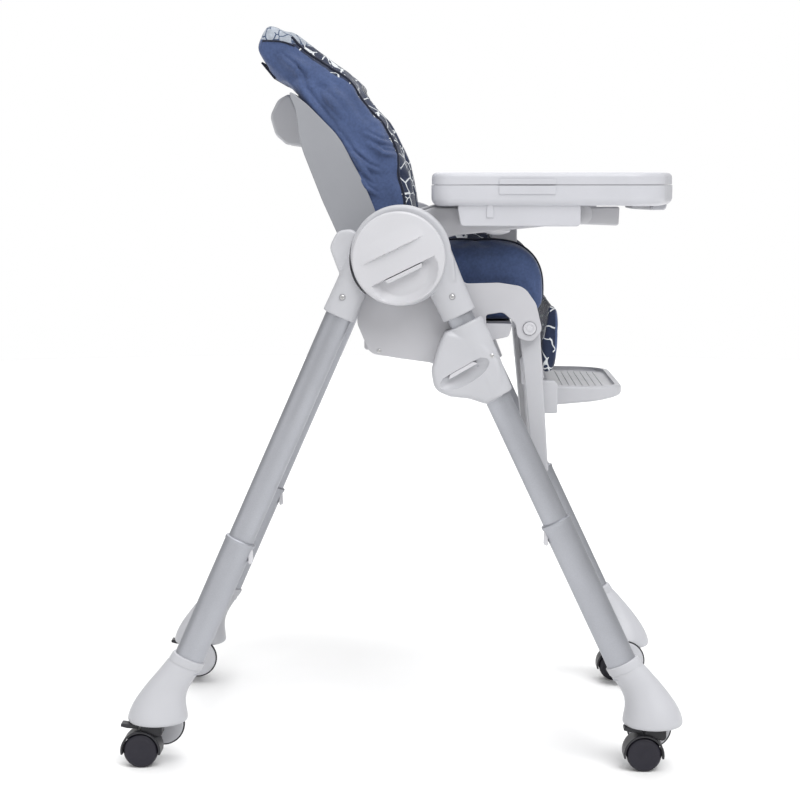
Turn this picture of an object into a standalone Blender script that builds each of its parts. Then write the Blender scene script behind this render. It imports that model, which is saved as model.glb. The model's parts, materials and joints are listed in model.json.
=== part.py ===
"""Folding baby high chair, in metres, standing on Z = 0.

The child faces -Y and +Z is up, so the child's right hand is at -X.
Heights are measured from the floor. Fore-and-aft distances are measured
forward from the folding hub, and at() turns both into a point.
"""
import math

import bmesh
import bpy
from mathutils import Matrix, Vector

for leftover in list(bpy.data.objects):
    bpy.data.objects.remove(leftover, do_unlink=True)

# Driving dimensions
HUB_Y = 0.0055            # where the folding hub lies fore and aft
HUB_Z = 0.733
SIDES = {"left": 1, "right": -1}

LEG_X = 0.240             # mid-plane of the legs, from the centre
TUBE_WIDE = 0.0185        # half sizes of the oval upper tube
TUBE_DEEP = 0.0125
TUBE_WALL = 0.0016
TUBE_TOP = 0.690          # the tubes end here, coped round the hub's discs
LOWER_WIDE = 0.0215
LOWER_DEEP = 0.0155
FIT = 0.0003              # gap between touching pieces
SLIDE_FIT = 0.0006

# Each leg pair: forward distance at hub height, forward run per metre down,
# height of the sleeve's foot, of the tube joint and of the foot collar
LEGS = {
    "front": {"top": 0.047, "run": 0.4706, "sleeve": 0.6425, "joint": 0.3615, "collar": 0.157},
    "rear": {"top": -0.049, "run": -0.4410, "sleeve": 0.6515, "joint": 0.3325, "collar": 0.160},
}
COLLAR_DEPTH = 0.022
CROSSBAR_Z = 0.178
CROSSBAR_R = 0.011

FOOT_X = 0.230
FOOT_R = 0.043
FOOT_Z = 0.064            # underside of the foot
CHEEK_R = 0.032
CHEEK_X = (0.1840, 0.1915)

SWIVEL_X = 0.243
SWIVEL_F = {"front": 0.369, "rear": -0.354}
TRAIL = 0.018             # wheel axle behind the swivel axis
WHEEL_R = 0.025
WHEEL_OUT = 0.0155
WHEEL_IN = 0.0045
HOOD_R = (0.0262, 0.0290)
HOOD_HALF = 0.0165
STEM_R = 0.0055
STEM_TOP = 0.100

HUB_LAYERS = (0.2225, 0.2395, 0.2405, 0.2575)   # rear disc, gap, front disc
FRONT_DISC_R = 0.071
REAR_DISC_R = 0.066
HUB_PIN_R = 0.009
COVER_R = 0.063
COVER_X = (0.2578, 0.2715)

PANEL_X = (0.2145, 0.2195)
SLIDER_X = (0.2198, 0.2620)
ARM_X = (0.1880, 0.2142)
RECLINE = (-0.030, 0.668)
SHELL_HALF = 0.185
SHELL_WALL = 0.006
BACK_TAPER = 0.55         # share of the width lost per metre of height
LEG_REST = (0.184, 0.633)
LEG_REST_BAR_X = (0.1960, 0.2080)

TRAY_BOTTOM = 0.805
TRAY_SPLIT = 0.8345
TRAY_TOP = 0.852


def at(forward, height, x=0.0):
    """Point from a forward distance and a height."""
    return Vector((x, HUB_Y - forward, height))


def along(leg, height):
    """Forward distance of a leg's axis at a height."""
    return leg["top"] + (HUB_Z - height) * leg["run"]


# Materials
def material(name, colour, roughness, metallic=0.0):
    made = bpy.data.materials.new(name)
    made.use_nodes = True
    shader = made.node_tree.nodes["Principled BSDF"]
    shader.inputs["Base Color"].default_value = (*colour, 1.0)
    shader.inputs["Roughness"].default_value = roughness
    shader.inputs["Metallic"].default_value = metallic
    return made


LIGHT_GREY = ((0.66, 0.66, 0.68), 0.45, 0.0)
MID_GREY = ((0.52, 0.54, 0.56), 0.45, 0.0)
SILVER = ((0.62, 0.64, 0.67), 0.32, 0.9)
BLACK = ((0.02, 0.02, 0.025), 0.55, 0.0)
NAVY = ((0.045, 0.075, 0.17), 0.9, 0.0)


# Shape helpers
def fillet(corners):
    """Outline from (a, b) or (a, b, radius) corners, with round corners as arcs."""
    points = []
    total = len(corners)
    for index, corner in enumerate(corners):
        here = Vector(corner[:2])
        radius = corner[2] if len(corner) > 2 else 0.0
        if radius == 0.0:
            points.append(tuple(here))
            continue
        before = (Vector(corners[index - 1][:2]) - here).normalized()
        after = (Vector(corners[(index + 1) % total][:2]) - here).normalized()
        half = before.angle(after) / 2
        reach = radius / math.tan(half)
        centre = here + (before + after).normalized() * (radius / math.sin(half))
        start = here + before * reach - centre
        turn = math.pi - 2 * half
        if start.x * (here - centre).y - start.y * (here - centre).x < 0:
            turn = -turn
        steps = max(1, round(abs(turn) / math.radians(30)), math.ceil(radius * abs(turn) / 0.055))
        for step in range(steps + 1):
            angle = turn * step / steps
            swung = Matrix.Rotation(angle, 2) @ start
            points.append(tuple(centre + swung))
    return points


def circle(forward, height, radius, count=24):
    return [(forward + radius * math.cos(2 * math.pi * i / count),
             height + radius * math.sin(2 * math.pi * i / count)) for i in range(count)]


def slab(outline, x_low, x_high, bevel=0.0, segments=2, bevel_low=True, bevel_high=True):
    """Side outline of (forward, height) points, given a thickness along X."""
    bm = bmesh.new()
    low = min(x_low, x_high)
    high = max(x_low, x_high)
    verts = [bm.verts.new(at(f, z, low)) for f, z in outline]
    face = bm.faces.new(verts)
    grown = bmesh.ops.extrude_face_region(bm, geom=[face])
    moved = [item for item in grown["geom"] if isinstance(item, bmesh.types.BMVert)]
    bmesh.ops.translate(bm, verts=moved, vec=(high - low, 0, 0))
    round_caps(bm, low, high, bevel, segments, bevel_low, bevel_high, 0)
    return bm


def plate(outline, z_low, z_high, bevel=0.0, segments=2, bevel_low=True, bevel_high=True):
    """Plan outline of (x, forward) points, given a thickness along Z."""
    bm = bmesh.new()
    verts = [bm.verts.new(at(f, z_low, x)) for x, f in outline]
    face = bm.faces.new(verts)
    grown = bmesh.ops.extrude_face_region(bm, geom=[face])
    moved = [item for item in grown["geom"] if isinstance(item, bmesh.types.BMVert)]
    bmesh.ops.translate(bm, verts=moved, vec=(0, 0, z_high - z_low))
    round_caps(bm, z_low, z_high, bevel, segments, bevel_low, bevel_high, 2)
    return bm


def round_caps(bm, low, high, width, segments, at_low, at_high, axis):
    """Bevel the edges of the flat faces at the two ends of an extrusion."""
    if width == 0.0:
        return
    levels = [low] * at_low + [high] * at_high
    edges = [edge for edge in bm.edges if any(
        all(abs(vert.co[axis] - level) < 1e-6 for vert in edge.verts) for level in levels)]
    bmesh.ops.bevel(bm, geom=edges, offset=width, offset_type="OFFSET", segments=segments,
                    profile=0.5, affect="EDGES", clamp_overlap=True, material=-1)
    bmesh.ops.remove_doubles(bm, verts=bm.verts, dist=0.00005)


def ring(centre, lean, wide, deep, count=16):
    """Oval ring square to a leg that leans forward by the angle lean going down."""
    across = Vector((0, -math.cos(lean), math.sin(lean)))
    out = Vector((1, 0, 0))
    return [centre + across * wide * math.cos(2 * math.pi * i / count)
            + out * deep * math.sin(2 * math.pi * i / count) for i in range(count)]


def loft(rings, closed=False):
    """Skin a row of rings; the ends are capped, or joined when closed."""
    bm = bmesh.new()
    rows = [[bm.verts.new(point) for point in points] for points in rings]
    pairs = list(zip(rows, rows[1:]))
    if closed:
        pairs.append((rows[-1], rows[0]))
    for row, following in pairs:
        for i in range(len(row)):
            j = (i + 1) % len(row)
            bm.faces.new((row[i], row[j], following[j], following[i]))
    if not closed:
        bm.faces.new(rows[0])
        bm.faces.new(rows[-1])
    return bm


def rod(start, end, radius, count=14):
    """Round bar between two points."""
    bm = bmesh.new()
    span = Vector(end) - Vector(start)
    turn = span.to_track_quat("Z", "Y").to_matrix().to_4x4()
    place = Matrix.Translation((Vector(start) + Vector(end)) / 2) @ turn
    bmesh.ops.create_cone(bm, cap_ends=True, segments=count, radius1=radius, radius2=radius,
                          depth=span.length, matrix=place)
    return bm


def leg_bar(leg, z_high, z_low, wide, deep, x, hollow=0.0):
    """Oval bar or open tube along a leg's axis."""
    lean = math.atan(leg["run"])
    ends = [at(along(leg, z), z, x) for z in (z_high, z_low)]
    rings = [ring(end, lean, wide, deep) for end in ends]
    if hollow == 0.0:
        return loft(rings)
    bores = [ring(end, lean, wide - hollow, deep - hollow) for end in ends]
    return loft([rings[0], rings[1], bores[1], bores[0]], closed=True)


def piece(name, bm, look, origin=(0, 0, 0)):
    """Make the named sub-part, with its origin on its joint where it moves."""
    bmesh.ops.recalc_face_normals(bm, faces=bm.faces)
    bmesh.ops.translate(bm, verts=bm.verts, vec=-Vector(origin))
    mesh = bpy.data.meshes.new(name)
    bm.to_mesh(mesh)
    bm.free()
    obj = bpy.data.objects.new(name, mesh)
    obj.location = origin
    bpy.context.scene.collection.objects.link(obj)
    mesh.materials.append(material(name, *look))
    mesh.shade_smooth()
    mesh.set_sharp_from_angle(angle=math.radians(35))
    return obj


def shape(obj, bm, operation):
    """Cut a solid from a sub-part, or join it on."""
    bmesh.ops.recalc_face_normals(bm, faces=bm.faces)
    mesh = bpy.data.meshes.new(obj.name + "_guide")
    bm.to_mesh(mesh)
    bm.free()
    guide = bpy.data.objects.new(obj.name + "_guide", mesh)
    bpy.context.scene.collection.objects.link(guide)
    guide.hide_render = True
    guide.display_type = "WIRE"
    modifier = obj.modifiers.new(operation.lower(), "BOOLEAN")
    modifier.operation = operation
    modifier.solver = "EXACT"
    modifier.object = guide


def cut(obj, bm):
    shape(obj, bm, "DIFFERENCE")


def join(obj, bm):
    shape(obj, bm, "UNION")


# Legs
def leg_pieces(end, leg, side, sign):
    x = sign * LEG_X
    tube = piece(f"{end}_upper_tube_{side}",
                 leg_bar(leg, TUBE_TOP, leg["joint"] - 0.028, TUBE_WIDE, TUBE_DEEP, x, hollow=TUBE_WALL),
                 SILVER)
    cut(tube, slab(circle(0, HUB_Z, FRONT_DISC_R + 0.003, 28), sign * 0.21, sign * 0.27))
    spigot = leg["collar"] - COLLAR_DEPTH + FIT
    lower = leg_bar(leg, leg["joint"], spigot, LOWER_WIDE, LOWER_DEEP, x, hollow=0.0026)
    piece(f"{end}_lower_leg_{side}", lower, SILVER)


def foot(end, leg, side, sign):
    """Bell-shaped foot with a collar above and a cheek beside the castor."""
    collar = leg["collar"]
    lean = math.atan(leg["run"])
    centre_f = SWIVEL_F[end] - math.copysign(0.004, SWIVEL_F[end])
    steps = [
        # height, share of the way out to the bell, half width, half depth
        (collar, 0.00, 0.0245, 0.0185),
        (collar - 0.012, 0.10, 0.0243, 0.0186),
        (0.122, 0.35, 0.0275, 0.0225),
        (0.100, 0.62, 0.0335, 0.0305),
        (0.083, 0.85, 0.0400, 0.0390),
        (0.072, 1.00, FOOT_R, FOOT_R),
        (0.066, 1.00, FOOT_R, FOOT_R),
        (FOOT_Z, 1.00, FOOT_R - 0.002, FOOT_R - 0.002),
    ]
    rings = []
    for height, share, wide, deep in steps:
        forward = along(leg, height) * (1 - share) + centre_f * share
        x = LEG_X * (1 - share) + FOOT_X * share
        rings.append(ring(at(forward, height, sign * x), lean * (1 - share), wide, deep, 20))
    obj = piece(f"{end}_foot_{side}", loft(rings), LIGHT_GREY)
    join(obj, slab(cheek_outline(centre_f), sign * CHEEK_X[0], sign * CHEEK_X[1]))
    cut(obj, leg_bar(leg, collar + 0.03, collar - COLLAR_DEPTH, LOWER_WIDE + FIT, LOWER_DEEP + FIT,
                     sign * LEG_X))
    axis_f = SWIVEL_F[end]
    cut(obj, rod(at(axis_f, FOOT_Z - 0.01, sign * SWIVEL_X),
                 at(axis_f, STEM_TOP + 0.001, sign * SWIVEL_X), STEM_R + 0.0004, 12))


def cheek_outline(centre_f):
    """Half disc hanging under the foot."""
    points = [(centre_f + CHEEK_R, 0.070)]
    for i in range(13):
        angle = -math.pi * i / 12
        points.append((centre_f + CHEEK_R * math.cos(angle), 0.046 + CHEEK_R * math.sin(angle)))
    points.append((centre_f - CHEEK_R, 0.070))
    return points


def crossbar(end, leg):
    forward = along(leg, CROSSBAR_Z)
    reach = LEG_X - LOWER_DEEP - FIT
    piece(f"{end}_crossbar", rod(at(forward, CROSSBAR_Z, -reach), at(forward, CROSSBAR_Z, reach),
                                 CROSSBAR_R), SILVER)


# Folding hubs
def front_hub(side, sign):
    """Sleeve on the front tube with the outer disc and the hinge pin."""
    leg = LEGS["front"]
    inner, _, front_face, outer = (sign * layer for layer in HUB_LAYERS)
    sleeve = fillet([(0.071, 0.628, 0.012), (0.115, 0.6485, 0.012), (0.068, 0.757, 0.030),
                     (0.010, 0.770), (0.010, 0.690), (0.044, 0.688)])
    obj = piece(f"front_hub_{side}", slab(sleeve, inner, outer, bevel=0.007), LIGHT_GREY)
    cut(obj, slab(circle(0, HUB_Z, REAR_DISC_R + 0.002, 28), sign * 0.20, front_face))
    join(obj, slab(circle(0, HUB_Z, FRONT_DISC_R, 36), front_face, outer))
    join(obj, rod(at(0, HUB_Z, inner), at(0, HUB_Z, sign * 0.250), HUB_PIN_R))
    cut(obj, leg_bar(leg, TUBE_TOP + FIT, 0.60, TUBE_WIDE + FIT, TUBE_DEEP + FIT, sign * LEG_X))


def rear_hub(side, sign):
    """Sleeve on the rear tube with the inner disc and its round shoulder."""
    leg = LEGS["rear"]
    inner, rear_face, _, outer = (sign * layer for layer in HUB_LAYERS)
    sleeve = fillet([(-0.112, 0.6595, 0.012), (-0.064, 0.6385, 0.012), (-0.030, 0.700),
                     (-0.030, 0.755), (-0.070, 0.7735, 0.016), (-0.094, 0.7560, 0.016),
                     (-0.087, 0.715, 0.040)])
    obj = piece(f"rear_hub_{side}", slab(sleeve, inner, outer, bevel=0.007), LIGHT_GREY,
                origin=at(0, HUB_Z))
    cut(obj, slab(circle(0, HUB_Z, FRONT_DISC_R + 0.002, 28), rear_face, sign * 0.28))
    join(obj, slab(circle(0, HUB_Z, REAR_DISC_R, 32), inner, rear_face))
    cut(obj, rod(at(0, HUB_Z, sign * 0.21), at(0, HUB_Z, sign * 0.25), HUB_PIN_R + 0.0004))
    cut(obj, leg_bar(leg, TUBE_TOP + FIT, 0.60, TUBE_WIDE + FIT, TUBE_DEEP + FIT, sign * LEG_X))


def hub_cover(side, sign):
    """Round cover with the finger slot of the folding lever."""
    bm = slab(circle(0, HUB_Z + 0.001, COVER_R, 36), sign * COVER_X[0], sign * COVER_X[1], bevel=0.005,
              bevel_low=sign < 0, bevel_high=sign > 0)
    obj = piece(f"hub_cover_{side}", bm, LIGHT_GREY)
    cut(obj, slab(slot_outline(0.046, 0.0, 0.030, 0.004), sign * (COVER_X[1] - 0.0095), sign * 0.30))


def slot_outline(length, low, high, corner):
    """Slot along the cover's tilted line, from low to high below that line."""
    tilt = math.radians(26)
    middle = Vector((0.008, HUB_Z - 0.016))
    line = Vector((math.cos(tilt), math.sin(tilt)))
    down = Vector((math.sin(tilt), -math.cos(tilt)))
    taper = (high - low) * 0.6
    corners = [middle - line * length + down * low, middle - line * (length - taper) + down * high,
               middle + line * (length - taper) + down * high, middle + line * length + down * low]
    return fillet([(*place, corner) for place in corners])


def fold_lever(side, sign):
    """Lever bar at the top of the slot; it is pulled down to fold the frame."""
    outline = slot_outline(0.030, 0.0012, 0.0065, 0.001)
    bm = slab(outline, sign * (COVER_X[1] - 0.0090), sign * (COVER_X[1] + 0.001))
    piece(f"fold_lever_{side}", bm, MID_GREY)


# Castors
def castor(end, side, sign):
    axis_f = SWIVEL_F[end]
    x = sign * SWIVEL_X
    axle_f = axis_f - TRAIL
    housing = castor_housing(end, side, axis_f, axle_f, x)
    cut(housing, rod(at(axle_f, WHEEL_R, x - 0.02), at(axle_f, WHEEL_R, x + 0.02), 0.0035, 10))
    piece(f"castor_wheels_{end}_{side}", twin_wheels(axle_f, x), BLACK, origin=at(axle_f, WHEEL_R, x))
    pedal = [(axle_f - 0.006, 0.0560), (axle_f - 0.006, 0.0625), (axle_f - 0.020, 0.0625),
             (axle_f - 0.0265, 0.0630), (axle_f - 0.0275, 0.0585), (axle_f - 0.020, 0.0570)]
    piece(f"brake_pedal_{end}_{side}", slab(pedal, x - 0.007, x + 0.007), BLACK,
          origin=at(axle_f - 0.006, 0.059, x))


def castor_housing(end, side, axis_f, axle_f, x):
    """Hood over the twin wheels, with the web between them and the stem."""
    tips = math.radians(12)
    arc = []
    for radius, way in ((HOOD_R[1], 1), (HOOD_R[0], -1)):
        for i in range(13):
            share = i / 12 if way > 0 else 1 - i / 12
            angle = -tips + (math.pi + 2 * tips) * share
            arc.append((axle_f + radius * math.cos(angle), WHEEL_R + radius * math.sin(angle)))
    obj = piece(f"castor_housing_{end}_{side}", slab(arc, x - HOOD_HALF, x + HOOD_HALF), BLACK,
                origin=at(axis_f, WHEEL_R, x))
    web = fillet([(axle_f - 0.009, WHEEL_R - 0.009, 0.008), (axle_f + 0.009, WHEEL_R - 0.009, 0.008),
                  (axle_f + 0.024, 0.056), (axle_f - 0.010, 0.052)])
    join(obj, slab(web, x - 0.0038, x + 0.0038))
    top = [(axle_f + 0.001, 0.0525), (axis_f + 0.012, 0.046), (axis_f + 0.012, FOOT_Z - 0.0007),
           (axle_f + 0.001, FOOT_Z - 0.0007)]
    join(obj, slab(top, x - 0.012, x + 0.012))
    join(obj, rod(at(axis_f, 0.058, x), at(axis_f, STEM_TOP, x), STEM_R, 12))
    return obj


def twin_wheels(axle_f, x):
    """Two discs on one axle, turned about the axle."""
    profile = [(0.0, -WHEEL_OUT), (0.0215, -WHEEL_OUT), (WHEEL_R, -0.0125), (WHEEL_R, -WHEEL_IN),
               (0.0030, -WHEEL_IN), (0.0030, WHEEL_IN), (WHEEL_R, WHEEL_IN), (WHEEL_R, 0.0125),
               (0.0215, WHEEL_OUT), (0.0, WHEEL_OUT)]
    bm = bmesh.new()
    centre = at(axle_f, WHEEL_R, x)
    verts = [bm.verts.new(centre + Vector((across, 0, radius))) for radius, across in profile]
    edges = [bm.edges.new(pair) for pair in zip(verts, verts[1:])]
    bmesh.ops.spin(bm, geom=verts + edges, cent=centre, axis=(1, 0, 0), angle=2 * math.pi, steps=18,
                   use_merge=True, use_duplicate=False)
    bmesh.ops.remove_doubles(bm, verts=bm.verts, dist=0.00001)
    return bm


# Seat
def height_slider(side, sign):
    """Sleeve that carries the seat up and down the front tube."""
    outline = fillet([(0.072, 0.622, 0.010), (0.047, 0.583, 0.015), (0.052, 0.548, 0.018),
                      (0.087, 0.538, 0.020), (0.122, 0.529, 0.010), (0.164, 0.549, 0.010),
                      (0.147, 0.603, 0.040), (0.127, 0.643, 0.010)])
    bm = slab(outline, sign * SLIDER_X[0], sign * SLIDER_X[1], bevel=0.007,
              bevel_low=sign < 0, bevel_high=sign > 0)
    obj = piece(f"height_slider_{side}", bm, LIGHT_GREY)
    cut(obj, leg_bar(LEGS["front"], 0.70, 0.48, TUBE_WIDE + SLIDE_FIT, TUBE_DEEP + SLIDE_FIT, sign * LEG_X))
    cut(obj, slab(grip_outline(0.031, 0.0), sign * (SLIDER_X[1] - 0.0075), sign * 0.30))


def grip_outline(half, inset):
    """Lens-shaped grip on the slider, along its tilted line."""
    tilt = math.radians(31)
    middle = Vector((0.094, 0.579))
    line = Vector((math.cos(tilt), math.sin(tilt)))
    up = Vector((-math.sin(tilt), math.cos(tilt)))
    points = []
    for i in range(9):
        share = -1 + 2 * i / 8
        points.append(tuple(middle + line * half * share + up * (0.010 * (1 - share * share) - inset)))
    for i in range(1, 8):
        share = 1 - 2 * i / 8
        points.append(tuple(middle + line * half * share - up * (0.012 * (1 - share * share) - inset)))
    return points


def height_lever(side, sign):
    """Lever under the upper edge of the slider's grip."""
    tilt = math.radians(31)
    middle = Vector((0.094, 0.579))
    line = Vector((math.cos(tilt), math.sin(tilt)))
    up = Vector((-math.sin(tilt), math.cos(tilt)))
    corners = [middle - line * 0.018 + up * 0.0005, middle + line * 0.018 + up * 0.0005,
               middle + line * 0.012 + up * 0.0050, middle - line * 0.012 + up * 0.0050]
    bm = slab([tuple(corner) for corner in corners], sign * (SLIDER_X[1] - 0.0072),
              sign * (SLIDER_X[1] - 0.0005))
    piece(f"height_lever_{side}", bm, MID_GREY)


def seat_shell():
    """Seat pan between two side panels, with the arms that hold the leg rest."""
    rest_f, rest_z = LEG_REST
    panel = fillet([(-0.060, 0.640, 0.020), (-0.042, 0.597, 0.016), (0.000, 0.590, 0.030),
                    (0.046, 0.584, 0.020), (0.072, 0.566, 0.010), (0.128, 0.566, 0.010),
                    (0.122, 0.652, 0.004), (0.146, 0.656, 0.010), (0.164, 0.640, 0.012),
                    (rest_f - 0.017, rest_z - 0.014, 0.010), (rest_f + 0.004, rest_z - 0.020, 0.012),
                    (rest_f + 0.018, rest_z - 0.002, 0.012), (0.193, 0.668, 0.020),
                    (0.176, 0.692, 0.024), (0.140, 0.6975), (0.092, 0.696, 0.010),
                    (0.060, 0.745, 0.020), (0.050, 0.792, 0.012), (0.002, 0.792, 0.012),
                    (-0.052, 0.740, 0.030)])
    obj = piece("seat_shell", slab(panel, -PANEL_X[1], -PANEL_X[0]), MID_GREY)
    pan = [(-0.050, 0.602), (0.060, 0.600), (0.155, 0.621), (0.160, 0.6395), (-0.050, 0.6395)]
    join(obj, slab(pan, -0.2155, 0.2155))
    join(obj, slab(panel, PANEL_X[0], PANEL_X[1]))
    recline_f, recline_z = RECLINE
    for sign in SIDES.values():
        join(obj, rod(at(recline_f, recline_z, sign * 0.2160), at(recline_f, recline_z, sign * 0.1885), 0.009))
        join(obj, rod(at(recline_f, recline_z, sign * 0.1900), at(recline_f, recline_z, sign * 0.1790), 0.005, 16))
        cut(obj, rod(at(rest_f, rest_z, sign * 0.20), at(rest_f, rest_z, sign * 0.23), 0.0100))
    cut(obj, slab([(0.0, 0.58), (0.13, 0.58), (0.13, 0.632), (0.0, 0.632)], -0.150, 0.150))
    return obj


def seat_cushion():
    """Seat pad with side bolsters, a well for the child and a rounded front."""
    outline = fillet([(-0.004, 0.6405), (0.186, 0.6405, 0.012), (0.2105, 0.666, 0.012),
                      (0.206, 0.722, 0.040), (0.172, 0.757, 0.040), (0.036, 0.757, 0.014), (-0.004, 0.700)])
    obj = piece("seat_cushion", slab(outline, -0.1840, 0.1840, bevel=0.008), NAVY)
    well = fillet([(-0.02, 0.673), (0.190, 0.673, 0.020), (0.250, 0.640), (0.250, 0.80), (-0.02, 0.80)])
    cut(obj, slab(well, -0.135, 0.135))
    cut(obj, slab([(0.128, 0.60), (0.178, 0.60), (0.178, 0.70), (0.128, 0.70)], -0.026, 0.026))


def crotch_post():
    """Post that keeps the child from sliding out under the tray."""
    outline = fillet([(0.133, 0.6400), (0.173, 0.6400), (0.173, 0.793, 0.012), (0.133, 0.799, 0.012)])
    piece("crotch_post", slab(outline, -0.021, 0.021, bevel=0.006), LIGHT_GREY)


def harness_buckle():
    """Buckle of the harness, lying on the seat pad."""
    outline = fillet([(0.060, 0.6735), (0.118, 0.6735), (0.118, 0.690, 0.006), (0.060, 0.690, 0.006)])
    piece("harness_buckle", slab(outline, -0.025, 0.025, bevel=0.003), BLACK)


def armrest(side, sign):
    """Arm beside the seat; the tray runs along it."""
    outline = fillet([(0.003, 0.790, 0.020), (0.001, 0.745, 0.020), (0.046, 0.745, 0.020),
                      (0.072, 0.763, 0.030), (0.250, 0.783), (0.308, 0.780, 0.010), (0.309, 0.802, 0.010),
                      (0.050, 0.803, 0.020)])
    bm = slab(outline, sign * ARM_X[0], sign * ARM_X[1], bevel=0.003)
    piece(f"armrest_{side}", bm, MID_GREY)


# Back
def backrest_profiles():
    """Side outlines of the shell, of its hollow and of the cushion."""
    pivot_f, pivot_z = RECLINE
    shell = fillet([(-0.164, 0.973, 0.004), (-0.150, 0.941, 0.030), (-0.144, 0.892, 0.060),
                    (-0.112, 0.812), (-0.089, 0.762), (-0.062, 0.700, 0.030),
                    (pivot_f - 0.020, pivot_z - 0.022, 0.018), (pivot_f + 0.022, pivot_z - 0.022, 0.018),
                    (-0.010, 0.700, 0.030), (-0.036, 0.798, 0.060), (-0.052, 0.836, 0.060),
                    (-0.088, 0.903, 0.060), (-0.133, 0.948, 0.040)])
    hollow = [(-0.156, 0.985), (-0.142, 0.941), (-0.136, 0.892), (-0.104, 0.812), (-0.081, 0.762),
              (-0.052, 0.694), (0.060, 0.694), (0.060, 0.985)]
    cushion = fillet([(-0.1490, 0.9780), (-0.1400, 0.941), (-0.1340, 0.892), (-0.1025, 0.812), (-0.0795, 0.762),
                      (-0.0545, 0.7065), (-0.012, 0.7065, 0.010), (0.022, 0.765, 0.020),
                      (0.027, 0.800, 0.020), (0.011, 0.868, 0.060), (-0.017, 0.924, 0.060),
                      (-0.066, 0.984, 0.060), (-0.127, 1.026, 0.040), (-0.160, 1.052, 0.030),
                      (-0.193, 1.074, 0.014), (-0.205, 1.026, 0.014), (-0.196, 1.000, 0.016),
                      (-0.172, 0.986, 0.012)])
    return shell, hollow, cushion


def narrow(bm):
    """Draw the sides in evenly with height, as the back narrows upwards."""
    for vert in bm.verts:
        vert.co.x *= 1 - BACK_TAPER * (vert.co.z - RECLINE[1])


def backrest():
    shell, hollow, cushion = backrest_profiles()
    origin = at(*RECLINE)
    outer = slab(shell, -SHELL_HALF, SHELL_HALF, bevel=0.003)
    narrow(outer)
    obj = piece("backrest_shell", outer, MID_GREY, origin=origin)
    inner = slab(hollow, -SHELL_HALF + SHELL_WALL, SHELL_HALF - SHELL_WALL)
    narrow(inner)
    cut(obj, inner)
    cut(obj, rod(at(*RECLINE, -0.20), at(*RECLINE, 0.20), 0.0054, 16))
    padding = slab(cushion, -0.177, 0.177, bevel=0.006)
    narrow(padding)
    pad = piece("backrest_cushion", padding, NAVY, origin=origin)
    dish = [(-0.014, 0.690), (0.080, 0.690), (0.080, 0.975), (-0.040, 0.975), (-0.064, 0.950),
            (-0.064, 0.900), (-0.044, 0.800)]
    scoop = slab(dish, -0.122, 0.122)
    narrow(scoop)
    cut(pad, scoop)


def recline_handle():
    """Squeeze handle behind the top of the backrest."""
    outline = fillet([(-0.1675, 0.970, 0.005), (-0.186, 0.960, 0.010), (-0.198, 0.936, 0.014),
                      (-0.190, 0.908, 0.014), (-0.174, 0.894, 0.008), (-0.1475, 0.890, 0.005),
                      (-0.1530, 0.935, 0.020)])
    obj = piece("recline_handle", slab(outline, -0.048, 0.048, bevel=0.003), LIGHT_GREY,
                origin=at(-0.155, 0.93))
    cut(obj, slab([(-0.152, 0.870), (-0.172, 0.870), (-0.180, 0.926), (-0.162, 0.934)], -0.036, 0.036))


# Tray
def tray_outline(inset):
    """Plan of the tray: rounded corners, a bowed front and a curve for the child."""
    side = 0.245 - inset
    return fillet([(-side, 0.045 + inset, 0.030), (-0.160, 0.045 + inset, 0.030),
                   (-0.100, 0.105 + inset, 0.060), (0.100, 0.105 + inset, 0.060),
                   (0.160, 0.045 + inset, 0.030), (side, 0.045 + inset, 0.030),
                   (side, 0.366 - inset, 0.060), (0.0, 0.4235 - inset, 0.400), (-side, 0.366 - inset, 0.060)])


def tray_base():
    """Lower tray with the guides that run on the armrests."""
    obj = piece("tray_base", plate(tray_outline(0.0), TRAY_BOTTOM, TRAY_SPLIT - FIT, bevel=0.009,
                                   bevel_high=False), LIGHT_GREY)
    cut(obj, plate(tray_outline(0.0065), TRAY_BOTTOM - 0.01, TRAY_SPLIT - 0.005))
    for sign in SIDES.values():
        guide = fillet([(0.082, TRAY_SPLIT - 0.003), (0.082, 0.800), (0.086, 0.777, 0.006),
                        (0.253, 0.777, 0.006), (0.253, TRAY_SPLIT - 0.003)])
        join(obj, slab(guide, sign * 0.2165, sign * 0.2375))
        rib = [(0.095, TRAY_SPLIT - 0.003), (0.095, 0.782), (0.250, 0.782), (0.250, TRAY_SPLIT - 0.003)]
        join(obj, slab(rib, sign * 0.1790, sign * 0.1855))
    lip = fillet([(0.380, TRAY_SPLIT - 0.003), (0.380, 0.797), (0.400, 0.797, 0.004), (0.4045, 0.815), (0.4045, 0.832)])
    join(obj, slab(lip, -0.070, 0.070))


def tray_cover():
    """Lift-off tray top with a raised rim."""
    obj = piece("tray_cover", plate(tray_outline(0.001), TRAY_SPLIT, TRAY_TOP, bevel=0.005,
                                    bevel_low=False), LIGHT_GREY)
    cut(obj, plate(tray_outline(0.020), TRAY_TOP - 0.011, TRAY_TOP + 0.01))


def tray_lever():
    """Release lever under the front of the tray."""
    outline = fillet([(0.342, 0.7985, 0.002), (0.376, 0.7965, 0.002), (0.376, 0.8030, 0.002),
                      (0.342, 0.8045, 0.002)])
    piece("tray_lever", slab(outline, -0.055, 0.055), MID_GREY, origin=at(0.342, 0.8015))


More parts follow.
